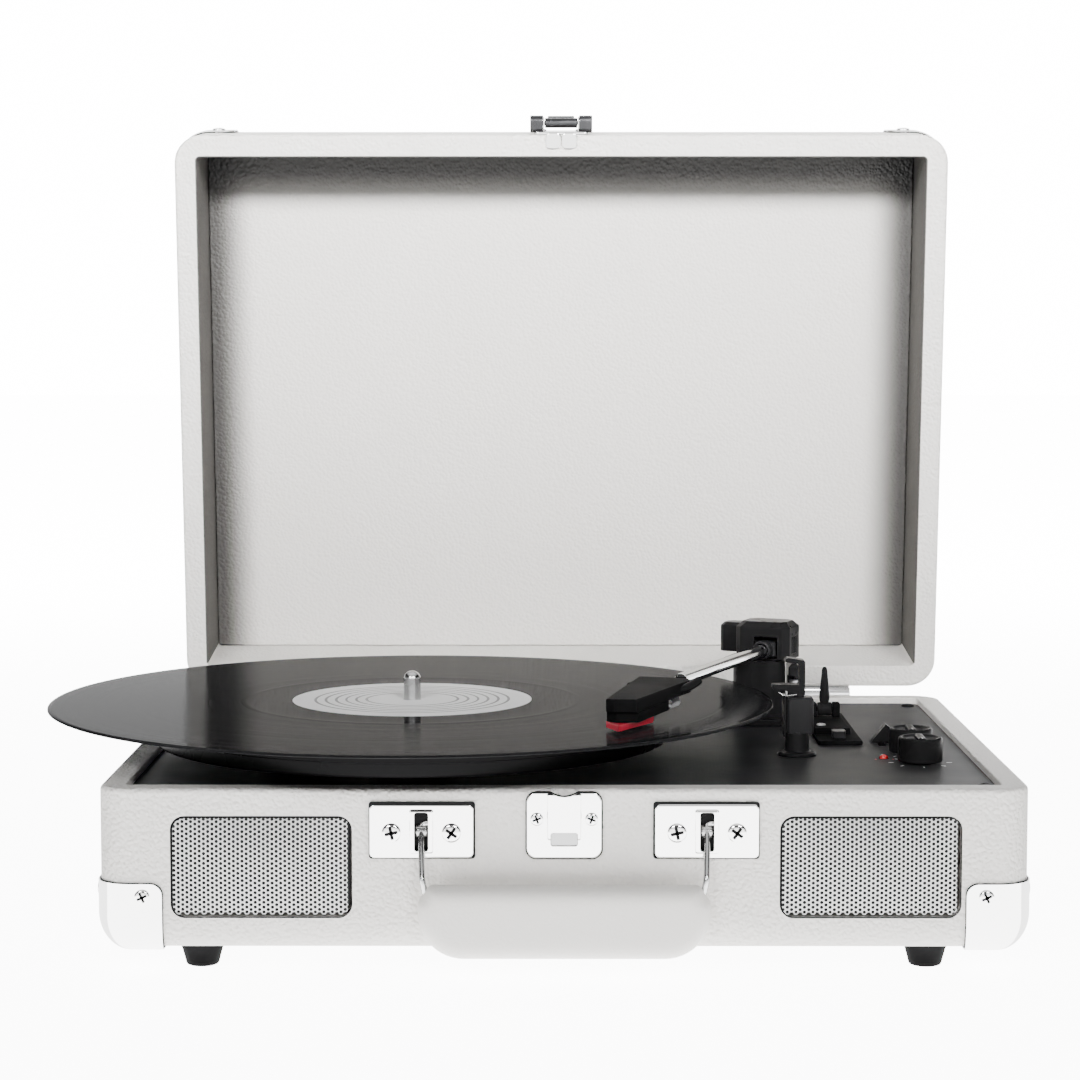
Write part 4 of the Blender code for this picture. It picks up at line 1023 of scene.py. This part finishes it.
def build_arm():
    low, high = span("tonearm_yoke")
    z0, z1 = low.z - PIVOT.z, high.z - PIVOT.z
    yoke = facet(-14.5, 10.5, -9.0, 11.0, z0, z1 + 2.2, 2.8, 2.4)
    yoke = join(yoke, facet(-26.6, 6.0, 6.0, 17.0, z0 + 1.2, z1 - 0.2, 1.8, 1.4))
    yoke = carve(yoke, block(-5.4, 5.4, -14.0, 4.4, -4.2, 5.4, 0.6, 0.3, 0.3))
    yoke = carve(yoke, block(9.4, 12.0, -3.0, 5.0, -2.6, 5.2, 0.6, 0.2, 0.2))
    yoke = carve(yoke, axle(1.4, 20.0, 0.0, (-10.0, 0.0, 0.0)))
    piece("arm_turret", yoke, BLACK, "arm_turret", of=["tonearm_yoke"], where=ARM, bevel=0.3)
    rib = [block(9.6, 10.5, -2.4 + 2.0 * k, -1.4 + 2.0 * k, -2.4, 5.0, 0.2, 0.1, 0.1, 3) for k in range(4)]
    piece("turret_ribs", together(*rib), BLACK, "arm_turret", where=ARM)
    gimbal = block(-4.8, 4.8, -10.5, 3.4, -3.3, 3.3, 1.0, 0.6, 0.6)
    gimbal = join(gimbal, axle(1.1, 17.0, 0.2, (-8.5, 0.0, 0.0)))
    gimbal = join(gimbal, put(rod(4.1, 5.6, 0.5, 48), ("X", 90), (0.0, -9.4, 0.0)))
    gimbal = carve(gimbal, put(rod(3.1, 15.0, 0.0), ("X", 90), (0.0, -7.0, 0.0)))
    piece("gimbal_block", gimbal, GREY, "arm", of=["tonearm_gimbal"], where=ARM)
    tube = lathe([(0.0, 8.0), (2.6, 8.0), (2.8, 8.2), (2.8, 121.8), (2.6, 122.0), (0.0, 122.0)], 64)
    piece("arm_tube", put(tube, ("X", 90)), CHROME, "arm", of=["tonearm_tube"], where=ARM)

    outline = [(16.2, 18.9), (19.2, 16.8), (27.9, 16.4), (52.0, 74.8), (50.7, 80.9), (31.3, 85.9)]
    shell = slab(outline, 98.4, 103.4, 0.9)
    socket = put(rod(3.1, 123.5, 0.0), ("X", 90), ("Z", math.degrees(ARM_YAW)), PIVOT)
    shell = carve(shell, socket)
    piece("head_body", shell, MATT, "arm", of=["headshell"], bevel=0.3)
    tab = put(facet(-5.2, 3.0, -1.6, 1.6, 99.0, 101.4, 0.5, 0.4), ("Z", -8.0), (31.4, 80.0, 0.0))
    piece("head_tab", tab, MATT, "arm", bevel=0.2)
    lift = bend([(42.6, 61.0, 100.8), (49.0, 67.0, 100.8), (52.6, 70.6, 102.0), (55.0, 72.6, 103.4)], 1.6)
    piece("finger_lift", tube_along(lift, 1.75), BLACK, "arm", angle=60.0)
    leads = []
    for k in range(4):
        x, y = 40.6 + 0.9 * k, 52.6 + 1.8 * k
        lead = bend([(x, y, 96.6 - 0.5 * k), (x + 2.4, y + 2.6, 94.6), (x + 3.6, y + 6.0, 96.2),
                     (x + 1.4, y + 9.0, 98.6)], 1.0)
        leads.append(tube_along(lead, 0.38, 10))
    piece("head_leads", together(*leads), STEEL, "arm", angle=60.0)
    body = slab([(16.6, 21.4), (20.2, 18.0), (28.7, 18.8), (41.9, 51.6), (33.8, 55.7)], 94.2, 98.1, 0.3)
    piece("cartridge_body", body, MATT, "arm", of=["cartridge"])
    wedge = slab([(16.4, 24.4), (20.8, 12.3), (34.8, 36.5), (35.8, 44.6), (29.8, 47.6)], 91.5, 93.9, 0.4)
    needle = lathe([(0.0, RECORD_TOP + 0.3), (0.3, RECORD_TOP + 0.8), (0.7, 92.5), (0.0, 92.5)], 16)
    piece("stylus_wedge", join(wedge, put(needle, (22.2, 17.5, 0.0))), RED, "arm", of=["stylus"])


# ---- rear

def build_rear():
    back = CASE[1]
    paint(BLACK, "jack_panel", "power_inlet")
    for k, (x, colour) in enumerate(((-20.0, RED), (-4.0, WHITE_MARK))):
        collar = [(2.9, 0.0), (6.0, 0.0), (6.0, 1.0), (5.2, 1.6), (4.6, 1.6), (4.6, 2.2), (2.9, 2.2)]
        piece("phono_ring_%d" % k, put(lathe(collar, 48), ("X", -90), (x, back + 2.3, 41.0)), colour,
              slot="steel")
        sleeve = [(3.0, 0.0), (4.35, 0.0), (4.35, 6.6), (4.1, 6.9), (3.3, 6.9), (3.0, 6.6)]
        piece("phono_sleeve_%d" % k, put(lathe(sleeve, 40), ("X", -90), (x, back + 2.3, 41.0)), CHROME)
    piece("inlet_pin", put(rod(1.0, 8.0, 0.4), ("X", -90), (18.0, back - 6.8, 41.0)), BRASS)
    spots = [(x, back + 2.3, z, "back", 1.9, 30.0 + x) for x in (-30.5, 30.5) for z in (31.0, 51.0)]
    fasten("panel_screws", spots, BLACK)


# ---- studio

def area_light(name, where, target, size, watts, spread=math.pi):
    light = bpy.data.lights.new(name, "AREA")
    light.shape, light.size, light.size_y = "RECTANGLE", size[0], size[1]
    light.energy, light.spread = watts, spread
    item = add(name, light)
    item.visible_camera = False
    item.location = where
    item.rotation_euler = (Vector(target) - Vector(where)).to_track_quat("-Z", "Y").to_euler()


def build_studio():
    """A white table and sweep, two softboxes in front, a card on the table and a light behind.

    The table and the sweep are bright where they are seen or mirrored, and dim as a source of diffuse
    light, so that the lights shape the object. What chrome mirrors darkens upwards from the horizon and
    is lit again overhead.
    """
    floor = bpy.data.meshes.new("floor")
    size = 8.0
    floor.from_pydata([(-size, -size, 0), (size, -size, 0), (size, size, 0), (-size, size, 0)], [],
                      [(0, 1, 2, 3)])
    item = add("floor", floor)
    material, tree, shader = shader_of("floor_white", (0.55, 0.55, 0.55), 0.9)
    glow = ranged(tree, vector_maths(tree, "LENGTH", place_of(tree)), (0.35, 1.6, 11.0, 15.0))
    rays = node(tree, "ShaderNodeLightPath").outputs
    shown = maths(tree, "MULTIPLY", glow, rays["Is Camera Ray"])
    mirrored = maths(tree, "MULTIPLY", rays["Is Glossy Ray"], 3.6)
    shader.inputs["Emission Color"].default_value = (1.0, 1.0, 1.0, 1.0)
    tree.links.new(maths(tree, "ADD", shown, mirrored), shader.inputs["Emission Strength"])
    floor.materials.append(material)

    world = bpy.data.worlds.new("studio")
    bpy.context.scene.world = world
    world.use_nodes = True
    tree = world.node_tree
    lighting, output = tree.nodes["Background"], tree.nodes["World Output"]
    toward = node(tree, "ShaderNodeTexCoord").outputs["Generated"]
    axes = node(tree, "ShaderNodeSeparateXYZ", [(toward, "Vector")]).outputs
    lighting.inputs["Color"].default_value = (1.0, 1.0, 1.0, 1.0)
    lighting.inputs["Strength"].default_value = 0.16
    sky = ramp(tree, axes["Z"], [(0.0, 1.0), (0.16, 0.8), (0.3, 0.05), (0.5, 0.015), (0.8, 0.3),
                                 (1.0, 0.42)], "EASE")
    flagged = ramp(tree, maths(tree, "ABSOLUTE", axes["X"]),
                   [(0.0, 1.0), (0.55, 1.0), (0.8, 0.12), (1.0, 0.12)], "EASE")
    mirror = node(tree, "ShaderNodeBackground", [(maths(tree, "MULTIPLY", sky, flagged), "Color")],
                  Strength=4.5)
    backdrop = node(tree, "ShaderNodeBackground", Color=(1.0, 1.0, 1.0, 1.0), Strength=16.0)
    rays = node(tree, "ShaderNodeLightPath").outputs
    inner = node(tree, "ShaderNodeMixShader", [(rays["Is Glossy Ray"], 0), (lighting.outputs[0], 1),
                                               (mirror.outputs[0], 2)])
    outer = node(tree, "ShaderNodeMixShader", [(rays["Is Camera Ray"], 0), (inner.outputs[0], 1),
                                               (backdrop.outputs[0], 2)])
    tree.links.new(outer.outputs[0], output.inputs["Surface"])

    for side, hand in SIDES:
        area_light("softbox_" + hand, (side * 0.75, -1.80, 1.15), (0.0, 0.25, 0.46), (0.8, 0.4), 5.5,
                   math.radians(30))
    area_light("low_card", (0.0, -0.34, 0.004), (0.0, -0.34, 1.0), (1.2, 0.42), 5.9)
    area_light("back_rim", (0.0, 2.0, 1.6), (0.0, 0.1, 0.15), (2.0, 0.8), 50.0)
    camera = bpy.data.cameras.new("camera")
    camera.lens, camera.sensor_width = 90.44, 36.0
    camera.clip_start, camera.clip_end = 0.05, 50.0
    item = add("camera", camera)
    item.location = ORIGIN + Vector((-6.73, -1018.0, 248.4)) * MM
    item.rotation_euler = (math.radians(85.387), 0.0, math.radians(0.1375))
    bpy.context.scene.camera = item


build_studio()
build_case()
build_feet()
build_corners()
build_speakers()
build_plates()
build_handle()
build_lid()
build_latch()
build_disc()
build_controls()
build_arm_mounts()
build_arm()
build_rear()
bpy.data.meshes.remove(SCREW)
